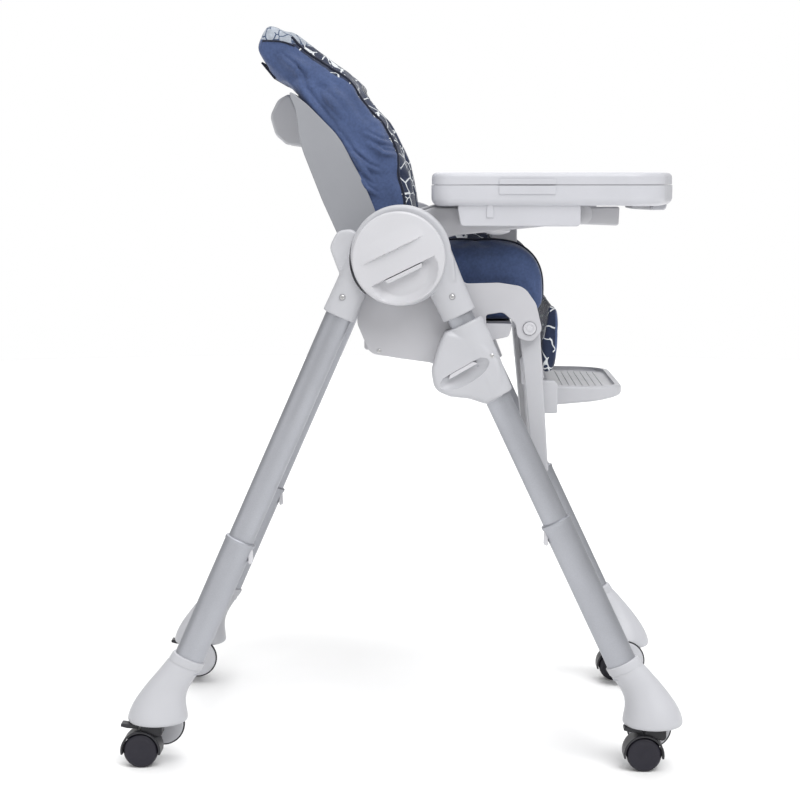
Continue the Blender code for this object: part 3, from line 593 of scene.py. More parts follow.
def makeCastor(end, side):
    sign = sides[side]
    x = sign * castor["x"]
    swivel = castor[end]
    axle = swivel - castor["trail"]
    centre = spot(axle, castor["radius"], x)
    half = [(-0.0155, 0.0), (-0.0158, 0.0045), (-0.0150, 0.0060), (-0.0144, 0.0150), (-0.0152, 0.0168),
            (-0.0155, 0.0205), (-0.0150, 0.0226), (-0.0138, 0.0240), (-0.0120, 0.0248), (-0.0100, 0.0250),
            (-0.0062, 0.0250), (-0.0050, 0.0246), (-0.0045, 0.0236), (-0.0045, 0.0032)]
    wheels = turnedX(half + [(-along, radius) for along, radius in reversed(half)], centre, 56)
    finishPiece(f"wheels_{end}_{side}_skin", wheels, f"wheels_{end}_{side}", finish["tyre"],
                [f"castor_wheels_{end}_{side}"])
    # hood: an arched wall over both wheels, with its web, block and stem
    hood = turnedX([(-0.0168, 0.0262), (-0.0168, 0.0282), (-0.0158, 0.0290), (0.0158, 0.0290),
                    (0.0168, 0.0282), (0.0168, 0.0262), (-0.0168, 0.0262)], centre, 72)
    bmesh.ops.bisect_plane(hood, geom=hood.verts[:] + hood.edges[:] + hood.faces[:],
                           plane_co=centre + Vector((0, 0, -0.005)), plane_no=(0, 0, -1), clear_outer=True)
    bmesh.ops.holes_fill(hood, edges=[edge for edge in hood.edges if edge.is_boundary], sides=0)
    web = sideSolid([(axle - 0.009, 0.016, 0.008), (axle + 0.009, 0.016, 0.008), (axle + 0.024, 0.056, 0.002),
                     (axle - 0.010, 0.052, 0.002)], x - 0.0036, x + 0.0036)
    addTo(hood, web)
    block = sideSolid([(axle + 0.001, 0.0515, 0.002), (swivel + 0.0135, 0.0440, 0.006),
                       (swivel + 0.0135, 0.0632, 0.003), (axle + 0.001, 0.0632, 0.004)], x - 0.0125,
                      x + 0.0125, 0.0022, 3)
    addTo(hood, block)
    post = sweepOvals([(spot(swivel, 0.0625, x), 0, 0.0086, 0.0086),
                       (spot(swivel, 0.0645, x), 0, 0.0086, 0.0086),
                       (spot(swivel, 0.0650, x), 0, 0.0055, 0.0055),
                       (spot(swivel, 0.0990, x), 0, 0.0055, 0.0055)], 24)
    addTo(hood, post)
    bmesh.ops.recalc_face_normals(hood, faces=hood.faces)
    finishPiece(f"castor_{end}_{side}_skin", hood, f"castor_{end}_{side}", finish["black"],
                [f"castor_housing_{end}_{side}"])
    pedal = sideSolid([(axle - 0.004, 0.0558, 0.001), (axle - 0.004, 0.0628, 0.001),
                       (axle - 0.020, 0.0630, 0.003), (axle - 0.0285, 0.0640, 0.0015),
                       (axle - 0.0290, 0.0590, 0.0015), (axle - 0.020, 0.0568, 0.003)],
                      x - 0.0085, x + 0.0085, 0.0012, 2)
    finishPiece(f"brake_{end}_{side}_skin", pedal, f"brake_{end}_{side}", finish["black"],
                [f"brake_pedal_{end}_{side}"])


for end in legs:
    for side in sides:
        makeCastor(end, side)
print("castors made")


# folding hubs
hubPlan = {"height": 0.733, "inner": 0.2225, "rearFace": 0.2395, "frontFace": 0.2405, "outer": 0.2575,
           "ring": 0.0703, "ringShift": (0.0030, 0.0040), "sweep": 0.0690, "rearDisc": 0.066}
sleevePlan = {"front": [(0.7560, 0.0300), (0.7300, 0.0285), (0.7000, 0.0262), (0.6700, 0.0246),
                        (0.6550, 0.0243), (0.6538, 0.0240), (0.6528, 0.0232)],
              "rear": [(0.7480, 0.0225), (0.7300, 0.0225), (0.7000, 0.0226), (0.6700, 0.0231),
                       (0.6540, 0.0236), (0.6528, 0.0233), (0.6518, 0.0226)]}


def sidePair(sign, near, far):
    # the two X places of a slab, lowest first
    return sorted((sign * near, sign * far))


def discX(sign, near, far, radius, rim=0.0, height=hubPlan["height"], forward=0.0, steps=96, dome=0.0):
    # disc lying across X with a rounded outer edge
    profile = [(sign * near, 0.0), (sign * near, radius)]
    for step in range(7):
        angle = math.radians(90 - 15 * step)
        profile.append((sign * (far - rim + rim * math.cos(angle)), radius - rim + rim * math.sin(angle)))
    profile.append((sign * (far + dome), 0.0))
    return turnedX(profile, spot(forward, height), steps)


def remeshed(name, bm, voxel):
    # object whose skin is rebuilt from small cubes
    obj = plainObject(name, bm)
    remesh = obj.modifiers.new("remesh", "REMESH")
    remesh.mode = "VOXEL"
    remesh.voxel_size = voxel
    return bakeModifiers(obj)


def softened(bm, rounds, factor=0.5):
    for _ in range(rounds):
        bmesh.ops.smooth_vert(bm, verts=bm.verts, factor=factor, use_axis_x=True, use_axis_y=True,
                              use_axis_z=True)
    return bm


def moulded(bm, others, voxel=0.0011, rounds=6, cuts=()):
    # melt shapes into one moulding: join, remesh, soften, then cut the crisp parts
    soft = softened(takenBack(remeshed("mould", carved(bm, (), others), voxel)), rounds)
    return carved(soft, cuts) if cuts else soft


def sleeveOn(end, sign):
    # oval sleeve round the top of a leg
    rows = []
    for height, wide in sleevePlan[end]:
        rows.append(legRow(end, height, sign * tube["x"], wide, 0.0172 - max(0.0, 0.0243 - wide) * 0.2))
    return sweepOvals(rows, 64)


def makeHubs(side):
    sign = sides[side]
    plan = hubPlan
    shiftForward, shiftUp = plan["ringShift"]
    ring = discX(sign, plan["frontFace"], plan["outer"], plan["ring"], 0.0055, plan["height"] + shiftUp,
                 shiftForward)
    inside = discX(sign, 0.200, plan["frontFace"], plan["rearDisc"] + 0.002)
    collar = sideSolid([(0.0300, 0.690, 0.004), (0.0800, 0.700, 0.004), (0.0760, 0.740, 0.010),
                        (0.020, 0.760, 0.004)],
                       *sidePair(sign, 0.2300, plan["outer"] - 0.0010), 0.004, 3)
    bm = moulded(sleeveOn("front", sign), [ring, collar], rounds=5, cuts=[inside])
    finishPiece(f"front_hub_{side}_skin", bm, "front_frame", finish["light"],
                [f"front_hub_{side}"], smooth=50, weighted=False)
    outside = discX(sign, plan["rearFace"], 0.280, plan["sweep"])
    lobe = sideSolid([(-0.0800, 0.7020, 0.004), (-0.0870, 0.7200, 0.020), (-0.0975, 0.7480, 0.016),
                      (-0.0860, 0.7710, 0.014), (-0.0600, 0.7740, 0.014), (-0.0500, 0.740, 0.004),
                      (-0.050, 0.700, 0.004)],
                     *sidePair(sign, plan["inner"], 0.2450), 0.0042, 4)
    bm = moulded(sleeveOn("rear", sign), [lobe], rounds=4, cuts=[outside])
    addTo(bm, discX(sign, plan["inner"], plan["rearFace"], plan["rearDisc"], 0.002))
    finishPiece(f"rear_hub_{side}_skin", bm, "rear_frame", finish["light"],
                [f"rear_hub_{side}"], smooth=50, weighted=False)
    for end, forward, height in (("front", 0.0745, 0.6800), ("rear", -0.0785, 0.6790)):
        # painted shade: a dark disc round each screw stands in for the shade in its recess
        well = discX(sign, 0.2540, 0.25765, 0.0046, 0.0006, height, forward, 28)
        finishPiece(f"{end}_screw_recess_shade_{side}", well, end + "_frame", finish["dark"])
        head = screwHead(forward, height, sign * 0.2574, sign, 0.0031)
        finishPiece(f"{end}_screw_{side}", head, end + "_frame", finish["screw"], smooth=30)


# hub covers: domed disc, raised ridge, scooped finger slot with a cliff edge
coverPlan = {"radius": 0.0652, "near": 0.2578, "far": 0.2700, "dome": 0.0030, "middle": (0.006, 0.7165),
             "tilt": math.radians(26), "scoopLong": 0.0480, "scoopTall": 0.0380, "scoopDeep": 0.0112,
             "ridgeUp": 0.0300, "ridgeHigh": 0.0058, "ridgeLong": 0.048, "cliff": 0.0012}


def makeCover(side):
    plan = coverPlan
    sign = sides[side]
    centre = spot(0, 0.7332)
    rings = 26
    profile = []
    for step in range(rings + 1):
        share = step / rings
        radius = plan["radius"] * 0.955 * share
        profile.append((plan["far"] + plan["dome"] * (1 - share ** 2), radius))
    for step in range(1, 6):
        angle = math.radians(18 * step)
        profile.append((plan["far"] - 0.0052 * (1 - math.cos(angle)),
                        plan["radius"] * 0.955 + 0.0029 * math.sin(angle)))
    profile += [(plan["near"], plan["radius"]), (plan["near"], 0.0)]
    bm = turnedX([(sign * along, radius) for along, radius in profile], centre, 120)
    line = Vector((0, -math.cos(plan["tilt"]), math.sin(plan["tilt"])))
    up = Vector((0, math.sin(plan["tilt"]), math.cos(plan["tilt"])))
    middle = spot(*plan["middle"])
    for level in (0.0, -plan["cliff"], plan["ridgeUp"], plan["ridgeUp"] + 0.0022):
        bmesh.ops.bisect_plane(bm, geom=bm.verts[:] + bm.edges[:] + bm.faces[:], dist=0.00001,
                               plane_co=middle + up * level, plane_no=up)
    for vert in bm.verts:
        if abs(vert.co.x) < plan["far"] - 0.0045:
            continue
        off = vert.co - middle
        across, above = off.dot(line), off.dot(up)
        rise = 0.0
        if above < -plan["cliff"] * 0.5:
            reach = 1 - (across / plan["scoopLong"]) ** 2 - ((above + 0.006) / plan["scoopTall"]) ** 2
            if reach > 0:
                rise -= plan["scoopDeep"] * min(1.0, reach * 2.2) ** 0.75
        elif above > plan["ridgeUp"] + 0.001:
            fade = max(0.0, 1 - (above - plan["ridgeUp"]) / 0.026)
            ends = max(0.0, 1 - (across / plan["ridgeLong"]) ** 2)
            rise += plan["ridgeHigh"] * fade ** 1.3 * ends ** 0.7
        elif above > 0.004:
            ends = max(0.0, 1 - (across / 0.05) ** 2)
            rise -= 0.0012 * math.sin(math.pi * min(1.0, (above - 0.004) / (plan["ridgeUp"] - 0.004))) * ends
        vert.co.x += sign * rise
    finishPiece(f"cover_{side}", bm, "front_frame", finish["cover"], [f"hub_cover_{side}"],
                smooth=28, weighted=False)
    # folding lever along the straight edge of the scoop
    leverRun = Vector((math.cos(plan["tilt"]), math.sin(plan["tilt"])))
    leverDown = Vector((math.sin(plan["tilt"]), -math.cos(plan["tilt"])))
    base = Vector(plan["middle"])
    corners = []
    for reach, drop, radius in ((-0.029, 0.0014, 0.0012), (-0.026, 0.0072, 0.0025), (0.026, 0.0072, 0.0025),
                                (0.029, 0.0014, 0.0012)):
        place = base + leverRun * reach + leverDown * drop
        corners.append((place.x, place.y, radius))
    low, high = sidePair(sign, 0.2615, 0.2728)
    lever = sideSolid(corners, low, high, 0.0016, 3)
    finishPiece(f"fold_lever_{side}_skin", lever, f"fold_lever_{side}", finish["cover"],
                [f"fold_lever_{side}"])


for side in sides:
    makeHubs(side)
    makeCover(side)
print("hubs made")


# height sliders
sliderPlan = {"near": 0.2198, "far": 0.2620, "grip": (0.0905, 0.5755), "tilt": math.radians(30),
              "gripSize": (0.0400, 0.0150, 0.0150),
              "sleeve": [(0.6412, 0.0264), (0.6402, 0.0274), (0.6387, 0.0279), (0.6200, 0.0284),
                         (0.5900, 0.0274), (0.5600, 0.0252), (0.5420, 0.0240), (0.5405, 0.0236),
                         (0.5396, 0.0226)]}


def makeSlider(side):
    plan = sliderPlan
    sign = sides[side]
    middle = (plan["near"] + plan["far"]) / 2
    deep = (plan["far"] - plan["near"]) / 2
    rows = [legRow("front", height, sign * middle, wide, deep - max(0.0, 0.0236 - wide) * 0.6)
            for height, wide in plan["sleeve"]]
    pod = sideSolid([(0.0655, 0.6330, 0.008), (0.0550, 0.6090, 0.030), (0.0455, 0.5760, 0.014),
                     (0.0500, 0.5490, 0.018), (0.0720, 0.5395, 0.014), (0.0980, 0.5370, 0.020),
                     (0.1230, 0.5290, 0.008), (0.1480, 0.5420, 0.010), (0.1420, 0.5900, 0.020),
                     (0.1150, 0.6200, 0.020)],
                    *sidePair(sign, plan["near"], plan["far"] - 0.0006), 0.0125, 6,
                    "low" if sign < 0 else "high")
    grip = bmesh.new()
    turn = Matrix.Rotation(-plan["tilt"], 4, "X")
    long, tall, depth = plan["gripSize"]
    up = Vector((0, math.sin(plan["tilt"]), math.cos(plan["tilt"])))
    centre = spot(*plan["grip"], sign * (plan["far"] + 0.0030))
    place = Matrix.Translation(centre - up * 0.0035) @ turn @ Matrix.Diagonal((depth, long, tall, 1.0))
    bmesh.ops.create_uvsphere(grip, u_segments=72, v_segments=36, radius=1.0, matrix=place)
    # the upper edge of the grip is a straight-walled arc, so trim the bowl above it
    bmesh.ops.bisect_plane(grip, geom=grip.verts[:] + grip.edges[:] + grip.faces[:], dist=0.00001,
                           plane_co=centre + up * 0.0062, plane_no=up, clear_outer=True)
    bmesh.ops.holes_fill(grip, edges=[edge for edge in grip.edges if edge.is_boundary], sides=0)
    tilt = -math.atan(legs["front"]["run"])
    bore = sweepOvals([(spot(legForward("front", height), height, sign * tube["x"]), tilt, 0.0191, 0.0131)
                       for height in (0.70, 0.48)])
    bm = moulded(sweepOvals(rows, 64), [pod], rounds=6, cuts=[grip, bore])
    finishPiece(f"slider_{side}", bm, "seat", finish["light"], [f"height_slider_{side}"],
                smooth=50, weighted=False)
    # squeeze lever under the upper edge of the grip
    run = Vector((math.cos(plan["tilt"]), math.sin(plan["tilt"])))
    above = Vector((-math.sin(plan["tilt"]), math.cos(plan["tilt"])))
    base = Vector(plan["grip"])
    corners = []
    for reach, rise, radius in ((-0.0235, 0.0004, 0.001), (0.0235, 0.0004, 0.001), (0.018, 0.0058, 0.004),
                                (-0.018, 0.0058, 0.004)):
        spotted = base + run * reach + above * rise
        corners.append((spotted.x, spotted.y, radius))
    near, far = sidePair(sign, plan["far"] - 0.0085, plan["far"] - 0.0012)
    lever = sideSolid(corners, near, far, 0.0006, 2)
    finishPiece(f"height_lever_{side}_skin", lever, f"height_lever_{side}", finish["cover"],
                [f"height_lever_{side}"])
    head = screwHead(0.1300, 0.5980, sign * (plan["far"] - 0.0016), sign, 0.0031)
    finishPiece(f"slider_screw_{side}", head, "seat", finish["screw"], smooth=30)


for side in sides:
    makeSlider(side)
print("sliders made")


# seat frame: pan, side panels with their leg rest arms, armrests
seatPlan = {"panelNear": 0.2145, "panelFar": 0.2195, "rest": (0.184, 0.633), "recline": (-0.030, 0.668)}


def makeSeatFrame():
    plan = seatPlan
    restForward, restHeight = plan["rest"]
    panel = [(-0.060, 0.640, 0.020), (-0.042, 0.597, 0.016), (0.000, 0.590, 0.030), (0.046, 0.584, 0.020),
             (0.072, 0.566, 0.010), (0.128, 0.566, 0.010), (0.122, 0.652, 0.004), (0.146, 0.656, 0.010),
             (0.164, 0.640, 0.012), (restForward - 0.017, restHeight - 0.014, 0.010),
             (restForward + 0.004, restHeight - 0.020, 0.012),
             (restForward + 0.018, restHeight - 0.002, 0.012), (0.193, 0.668, 0.020), (0.176, 0.692, 0.024),
             (0.140, 0.6975, 0.030), (0.092, 0.696, 0.010), (0.060, 0.745, 0.020), (0.050, 0.792, 0.012),
             (0.002, 0.792, 0.012), (-0.052, 0.740, 0.030)]
    pan = sideSolid([(-0.050, 0.602, 0.004), (0.060, 0.600, 0.010), (0.155, 0.621, 0.006),
                     (0.160, 0.6395, 0.002), (-0.050, 0.6395, 0.002)], -0.2150, 0.2150, 0.0012, 2)
    under = sideSolid([(0.0, 0.58), (0.13, 0.58), (0.13, 0.632, 0.006), (0.0, 0.632, 0.006)], -0.150, 0.150,
                      0.006, 3)
    bm = carved(pan, [under])
    for sign in sides.values():
        low, high = sidePair(sign, plan["panelNear"], plan["panelFar"])
        sheetPanel = sideSolid(panel, low, high, 0.0012, 3)
        hole = discX(sign, 0.20, 0.23, 0.0100, 0.0, restHeight, restForward, 40)
        addTo(bm, carved(sheetPanel, [hole]))
        reclineForward, reclineHeight = plan["recline"]
        addTo(bm, discX(sign, 0.1885, 0.2160, 0.009, 0.001, reclineHeight, reclineForward, 32))
        addTo(bm, discX(sign, 0.1790, 0.1900, 0.005, 0.0005, reclineHeight, reclineForward, 32))
    finishPiece("seat_frame", bm, "seat", finish["grey"], ["seat_shell"])
    for side, sign in sides.items():
        head = screwHead(-0.0290, 0.6005, sign * 0.2194, sign, 0.0030)
        finishPiece(f"panel_screw_{side}", head, "seat", finish["screw"], smooth=30)
        button = turnedX([(sign * 0.2130, 0.0), (sign * 0.2130, 0.0092), (sign * 0.2212, 0.0092),
                          (sign * 0.2220, 0.0084), (sign * 0.2220, 0.0062), (sign * 0.2213, 0.0056),
                          (sign * 0.2213, 0.0042), (sign * 0.2220, 0.0036), (sign * 0.2222, 0.0)],
                         spot(restForward, restHeight), 40)
        finishPiece(f"rest_button_{side}", button, f"legrest_button_{side}", finish["cover"],
                    [f"legrest_button_{side}"])
        low, high = sidePair(sign, 0.1880, 0.2142)
        arm = sideSolid([(0.003, 0.790, 0.020), (0.001, 0.745, 0.020), (0.046, 0.745, 0.020),
                         (0.072, 0.763, 0.030), (0.240, 0.7800, 0.10), (0.308, 0.7775, 0.004),
                         (0.309, 0.8040, 0.003), (0.050, 0.803, 0.020)],
                        low, high, 0.0035, 4)
        cap = turnedX([(sign * 0.2070, 0.0), (sign * 0.2070, 0.0148), (sign * 0.2152, 0.0148),
                       (sign * 0.2160, 0.0138), (sign * 0.2164, 0.0)], spot(0.2560, 0.7940), 48)
        finishPiece(f"arm_{side}", arm, "seat", finish["grey"], [f"armrest_{side}"])
        finishPiece(f"arm_cap_{side}", cap, "seat", finish["cover"])


makeSeatFrame()


# leg rest frame and foot plate
def makeLegRest():
    restForward, restHeight = seatPlan["rest"]
    bar = [(restForward - 0.0145, restHeight + 0.010, 0.012),
           (restForward + 0.0145, restHeight + 0.010, 0.012), (0.2130, 0.4265, 0.003),
           (0.1905, 0.4265, 0.003)]
    bm = sideSolid(bar, 0.1960, 0.2080, 0.0022, 3)
    addTo(bm, sideSolid(bar, -0.2080, -0.1960, 0.0022, 3))
    addTo(bm, sideSolid([(0.194, 0.613, 0.001), (0.200, 0.613, 0.001), (0.206, 0.560, 0.001),
                         (0.200, 0.560, 0.001)],
                        -0.1970, 0.1970, 0.0010, 2))
    finishPiece("legrest_bars", bm, "legrest", finish["light"], ["legrest_frame"])
    for side, sign in sides.items():
        # painted shade: a dark strip down the inside of the bar stands in for the shade in its channel
        low, high = sidePair(sign, 0.1935, 0.1962)
        channelShade = sideSolid([(0.1760, 0.600, 0.002), (0.1830, 0.600, 0.002), (0.1985, 0.432, 0.002),
                            (0.1915, 0.432, 0.002)], low, high, 0.0006, 2)
        finishPiece(f"legrest_channel_shade_{side}", channelShade, "legrest", finish["dark"])
    plate = [(-0.150, 0.2145, 0.004), (0.150, 0.2145, 0.004), (0.150, 0.3250, 0.050), (-0.150, 0.3250, 0.050)]
    inner = [(-0.140, 0.2240, 0.006), (0.140, 0.2240, 0.006), (0.140, 0.3155, 0.042), (-0.140, 0.3155, 0.042)]
    bm = planSolid(plate, 0.5150, 0.5440, 0.0070, 5)
    bm = carved(bm, [planSolid(inner, 0.5385, 0.5600, 0.0025, 3, "low")])
    for vert in bm.verts:
        # the underside rises to the front, and the rim with it
        share = (forwardOf(vert.co) - 0.2145) / 0.1105
        if vert.co.z < 0.528:
            vert.co.z += 0.0125 * max(0.0, share) ** 1.5
        else:
            vert.co.z -= 0.0020 * share
    hanger = [(0.1890, 0.5090, 0.003), (0.2260, 0.5090, 0.003), (0.2260, 0.5560, 0.008),
              (0.1860, 0.5560, 0.008)]
    for sign in sides.values():
        addTo(bm, sideSolid(hanger, *sidePair(sign, 0.1810, 0.1950), 0.0020, 3))
        addTo(bm, sideSolid([(0.2145, 0.512, 0.002), (0.2250, 0.512, 0.002), (0.2250, 0.530, 0.002),
                             (0.2145, 0.530, 0.002)], *sidePair(sign, 0.145, 0.183), 0.0012, 2))
    finishPiece("foot_plate", bm, "footrest", finish["light"], ["footrest"])
    ribs = bmesh.new()
    for row in range(7):
        place = 0.2380 + row * 0.0100
        rise = 0.5385 - 0.0020 * (place - 0.2145) / 0.1105
        addTo(ribs, sideSolid([(place, rise - 0.0010, 0.0004), (place + 0.0040, rise - 0.0010, 0.0004),
                               (place + 0.0034, rise + 0.0011, 0.0008),
                               (place + 0.0006, rise + 0.0011, 0.0008)],
                              -0.108, 0.108, 0.0005, 2))
    finishPiece("foot_plate_ribs", ribs, "footrest", finish["light"])


makeLegRest()
print("seat frame and leg rest made")


# tray
trayPlan = {"bottom": 0.805, "split": 0.8345, "top": 0.852}


def trayOutline(inset):
    side = 0.245 - inset
    return [(-side, 0.045 + inset, 0.030), (-0.160, 0.045 + inset, 0.030), (-0.100, 0.105 + inset, 0.060),
            (0.100, 0.105 + inset, 0.060), (0.160, 0.045 + inset, 0.030), (side, 0.045 + inset, 0.030),
            (side, 0.366 - inset, 0.062), (0.0, 0.4135 - inset, 0.400), (-side, 0.366 - inset, 0.062)]


def makeTray():
    plan = trayPlan
    bm = planSolid(trayOutline(0.0), plan["bottom"], plan["split"] - 0.0004, 0.0115, 7, "low")
    roundRims(bm, 2, [plan["split"] - 0.0004], 0.0008, 2)
    hollow = planSolid(trayOutline(0.0075), plan["bottom"] - 0.010, plan["split"] - 0.005, 0.003, 2, "high")
    bm = carved(bm, [hollow])
    for sign in sides.values():
        guide = [(0.082, plan["split"] - 0.006), (0.082, 0.800), (0.086, 0.777, 0.005), (0.253, 0.777, 0.006),
                 (0.253, plan["split"] - 0.006)]
        low, high = sidePair(sign, 0.2165, 0.2375)
        addTo(bm, sideSolid(guide, low, high, 0.0022, 3))
        low, high = sidePair(sign, 0.1790, 0.1855)
        addTo(bm, sideSolid([(0.095, plan["split"] - 0.006), (0.095, 0.782, 0.003), (0.250, 0.782, 0.003),
                             (0.250, plan["split"] - 0.006)], low, high, 0.0012, 2))
    addTo(bm, sideSolid([(0.370, plan["split"] - 0.006), (0.370, 0.797, 0.003), (0.390, 0.797, 0.005),
                         (0.3950, 0.815, 0.004), (0.3950, plan["split"] - 0.006)], -0.070, 0.070, 0.0025, 3))
    finishPiece("tray_underside", bm, "tray", finish["tray"], ["tray_base"], smooth=32)
    bm = planSolid(trayOutline(0.0006), plan["split"] + 0.0004, plan["top"], 0.0075, 6, "high")
    basin = planSolid(trayOutline(0.0190), plan["top"] - 0.011, plan["top"] + 0.020, 0.0050, 4, "low")
    bm = carved(bm, [basin])
    finishPiece("tray_top", bm, "tray_cover", finish["tray"], ["tray_cover"], smooth=32)
    for side, sign in sides.items():
        # latch tab in the side of the tray, and the clip that holds the guide
        low, high = sidePair(sign, 0.2380, 0.2464)
        tab = sideSolid([(0.139, 0.8215, 0.003), (0.139, 0.8336, 0.001), (0.218, 0.8336, 0.001),
                         (0.218, 0.8215, 0.003)], low, high, 0.0006, 2)
        finishPiece(f"tray_tab_{side}", tab, "tray", finish["tray"])
        upper = sideSolid([(0.139, 0.8352, 0.001), (0.139, 0.8430, 0.003), (0.218, 0.8430, 0.003),
                           (0.218, 0.8352, 0.001)], low, high, 0.0006, 2)
        finishPiece(f"tray_cover_tab_{side}", upper, "tray_cover", finish["tray"])
        low, high = sidePair(sign, 0.2300, 0.2392)
        clip = sideSolid([(0.1215, 0.789, 0.002), (0.1325, 0.789, 0.002), (0.1310, 0.8100, 0.001),
                          (0.1230, 0.8100, 0.001)], low, high, 0.0010, 2)
        finishPiece(f"tray_clip_{side}", clip, "tray", finish["tray"])
    lever = sideSolid([(0.342, 0.7985, 0.002), (0.376, 0.7965, 0.002), (0.376, 0.8030, 0.002),
                       (0.342, 0.8045, 0.002)],
                      -0.055, 0.055, 0.0016, 3)
    finishPiece("tray_handle", lever, "tray_lever", finish["grey"], ["tray_lever"])


makeTray()
print("tray made")


# backrest shell and handle
backPlan = {"half": 0.185, "wall": 0.006, "taper": 0.55, "pivot": (-0.030, 0.668), "padHalf": 0.177}


def backWidth(height):
    return 1 - backPlan["taper"] * (height - backPlan["pivot"][1])


def narrow(bm):
    # draw the sides in evenly with height
    for vert in bm.verts:
        vert.co.x *= backWidth(vert.co.z)
    return bm


def makeBackShell():
    plan = backPlan
    pivotForward, pivotHeight = plan["pivot"]
    outline = [(-0.164, 0.973, 0.004), (-0.150, 0.941, 0.050), (-0.144, 0.892, 0.120), (-0.112, 0.812, 0.100),
               (-0.089, 0.762, 0.100), (-0.062, 0.700, 0.030),
               (pivotForward - 0.020, pivotHeight - 0.022, 0.018),
               (pivotForward + 0.022, pivotHeight - 0.022, 0.018), (-0.010, 0.700, 0.030),
               (-0.036, 0.798, 0.120), (-0.052, 0.836, 0.080), (-0.088, 0.903, 0.100), (-0.133, 0.948, 0.060)]
    outer = narrow(sideSolid(outline, -plan["half"], plan["half"], 0.0065, 5))
    hollow = [(-0.156, 0.985), (-0.142, 0.941, 0.040), (-0.136, 0.892, 0.080), (-0.104, 0.812, 0.080),
              (-0.081, 0.762, 0.080), (-0.052, 0.694), (0.060, 0.694), (0.060, 0.985)]
    inner = narrow(sideSolid(hollow, -plan["half"] + plan["wall"], plan["half"] - plan["wall"]))
    pivotHole = turnedX([(-0.20, 0.0), (-0.20, 0.0054), (0.20, 0.0054), (0.20, 0.0)],
                        spot(pivotForward, pivotHeight), 24)
    bm = carved(outer, [inner, pivotHole])
    finishPiece("back_shell", bm, "backrest", finish["shell"], ["backrest_shell"], smooth=34)
    # stiffening ribs on the back of the shell
    ribs = bmesh.new()
    for x in (-0.075, -0.025, 0.025, 0.075):
        addTo(ribs, sideSolid([(-0.1400, 0.880), (-0.1090, 0.800), (-0.0865, 0.752), (-0.0905, 0.752, 0.003),
                               (-0.1145, 0.806, 0.080), (-0.1445, 0.880, 0.003)], x - 0.0018, x + 0.0018,
                              0.0006, 2))
    finishPiece("back_ribs", ribs, "backrest", finish["shell"])
    outline = [(-0.1675, 0.970, 0.006), (-0.186, 0.960, 0.016), (-0.198, 0.936, 0.018),
               (-0.190, 0.908, 0.018), (-0.174, 0.894, 0.008), (-0.1475, 0.890, 0.005),
               (-0.1530, 0.935, 0.040)]
    handle = sideSolid(outline, -0.048, 0.048, 0.0085, 6)
    grip = sideSolid([(-0.150, 0.868, 0.002), (-0.1735, 0.868, 0.002), (-0.1815, 0.926, 0.006),
                      (-0.161, 0.936, 0.006)],
                     -0.036, 0.036, 0.004, 3)
    bm = carved(handle, [grip])
    finishPiece("back_handle", bm, "recline_handle", finish["light"], ["recline_handle"])


makeBackShell()
print("backrest shell made")


# padding
puffPlan = {"voxel": 0.0046, "rounds": 5, "pressure": 4.0, "frames": 20, "quality": 4, "stiffness": 12,
            "settle": 2}


def puffed(bm, name, cap, hold, rounds=puffPlan["rounds"], voxel=puffPlan["voxel"]):
    # voxel remesh, soften, then a short cloth run with air inside. hold(vert) is the
    # share of the swelling that a point keeps, so that hard neighbours stay clear
    obj = remeshed(name, bm, voxel)
    soft = bmesh.new()
    soft.from_mesh(obj.data)
    softened(soft, rounds).to_mesh(obj.data)
    soft.free()
    rest = [vert.co.copy() for vert in obj.data.vertices]
    cloth = obj.modifiers.new("cloth", "CLOTH")
    cloth.settings.quality = puffPlan["quality"]
    cloth.settings.use_pressure = True
    cloth.settings.uniform_pressure_force = puffPlan["pressure"]
    cloth.settings.effector_weights.gravity = 0
    cloth.settings.tension_stiffness = puffPlan["stiffness"]
    cloth.settings.compression_stiffness = puffPlan["stiffness"]
    cloth.point_cache.frame_end = puffPlan["frames"]
    for frameNumber in range(1, puffPlan["frames"] + 1):
        bpy.context.scene.frame_set(frameNumber)
    bakeModifiers(obj)
    bpy.context.scene.frame_set(1)
    for vert, start in zip(obj.data.vertices, rest):
        move = (vert.co - start) * hold(start)
        if move.length > cap:
            move = move.normalized() * cap
        vert.co = start + move
    return softened(takenBack(obj), puffPlan["settle"], 0.4)


def foldShift(forward, height, folds):
    # how far creases pull a point in; each fold is (points, width, depth)
    shift = 0.0
    here = Vector((forward, height))
    for points, width, depth in folds:
        total = len(points) - 1
        best = None
        for index in range(total):
            first, second = Vector(points[index]), Vector(points[index + 1])
            span = second - first
            share = max(0.0, min(1.0, (here - first).dot(span) / span.length_squared))
            away = here - (first + span * share)
            side = span.x * away.y - span.y * away.x
            if best is None or away.length < best[0]:
                best = (away.length, (index + share) / total, side)
        gap, place, side = best
        if gap > width * 3:
            continue
        fade = math.sin(math.pi * (0.08 + 0.84 * place)) ** 0.8
        ridge = 0.55 * math.exp(-((gap - width * 1.5) / (width * 0.8)) ** 2) if side > 0 else 0.0
        shift += depth * fade * (ridge - math.exp(-(gap / width) ** 2))
    return shift


def creaseSide(vert, edge, folds):
    # creases work on the side panel and fade out before the front
    nearSide = max(0.0, min(1.0, (abs(vert.co.x) - edge + 0.022) / 0.014))
    if nearSide > 0:
        shift = foldShift(forwardOf(vert.co), vert.co.z, folds)
        vert.co.x += math.copysign(shift * nearSide, vert.co.x)


def setZones(obj, zones):
    # store one value per point for each zone; above zero is inside it
    for name, measure in zones.items():
        layer = obj.data.attributes.new(name, "FLOAT", "POINT")
        layer.data.foreach_set("value", [measure(vert.co) for vert in obj.data.vertices])


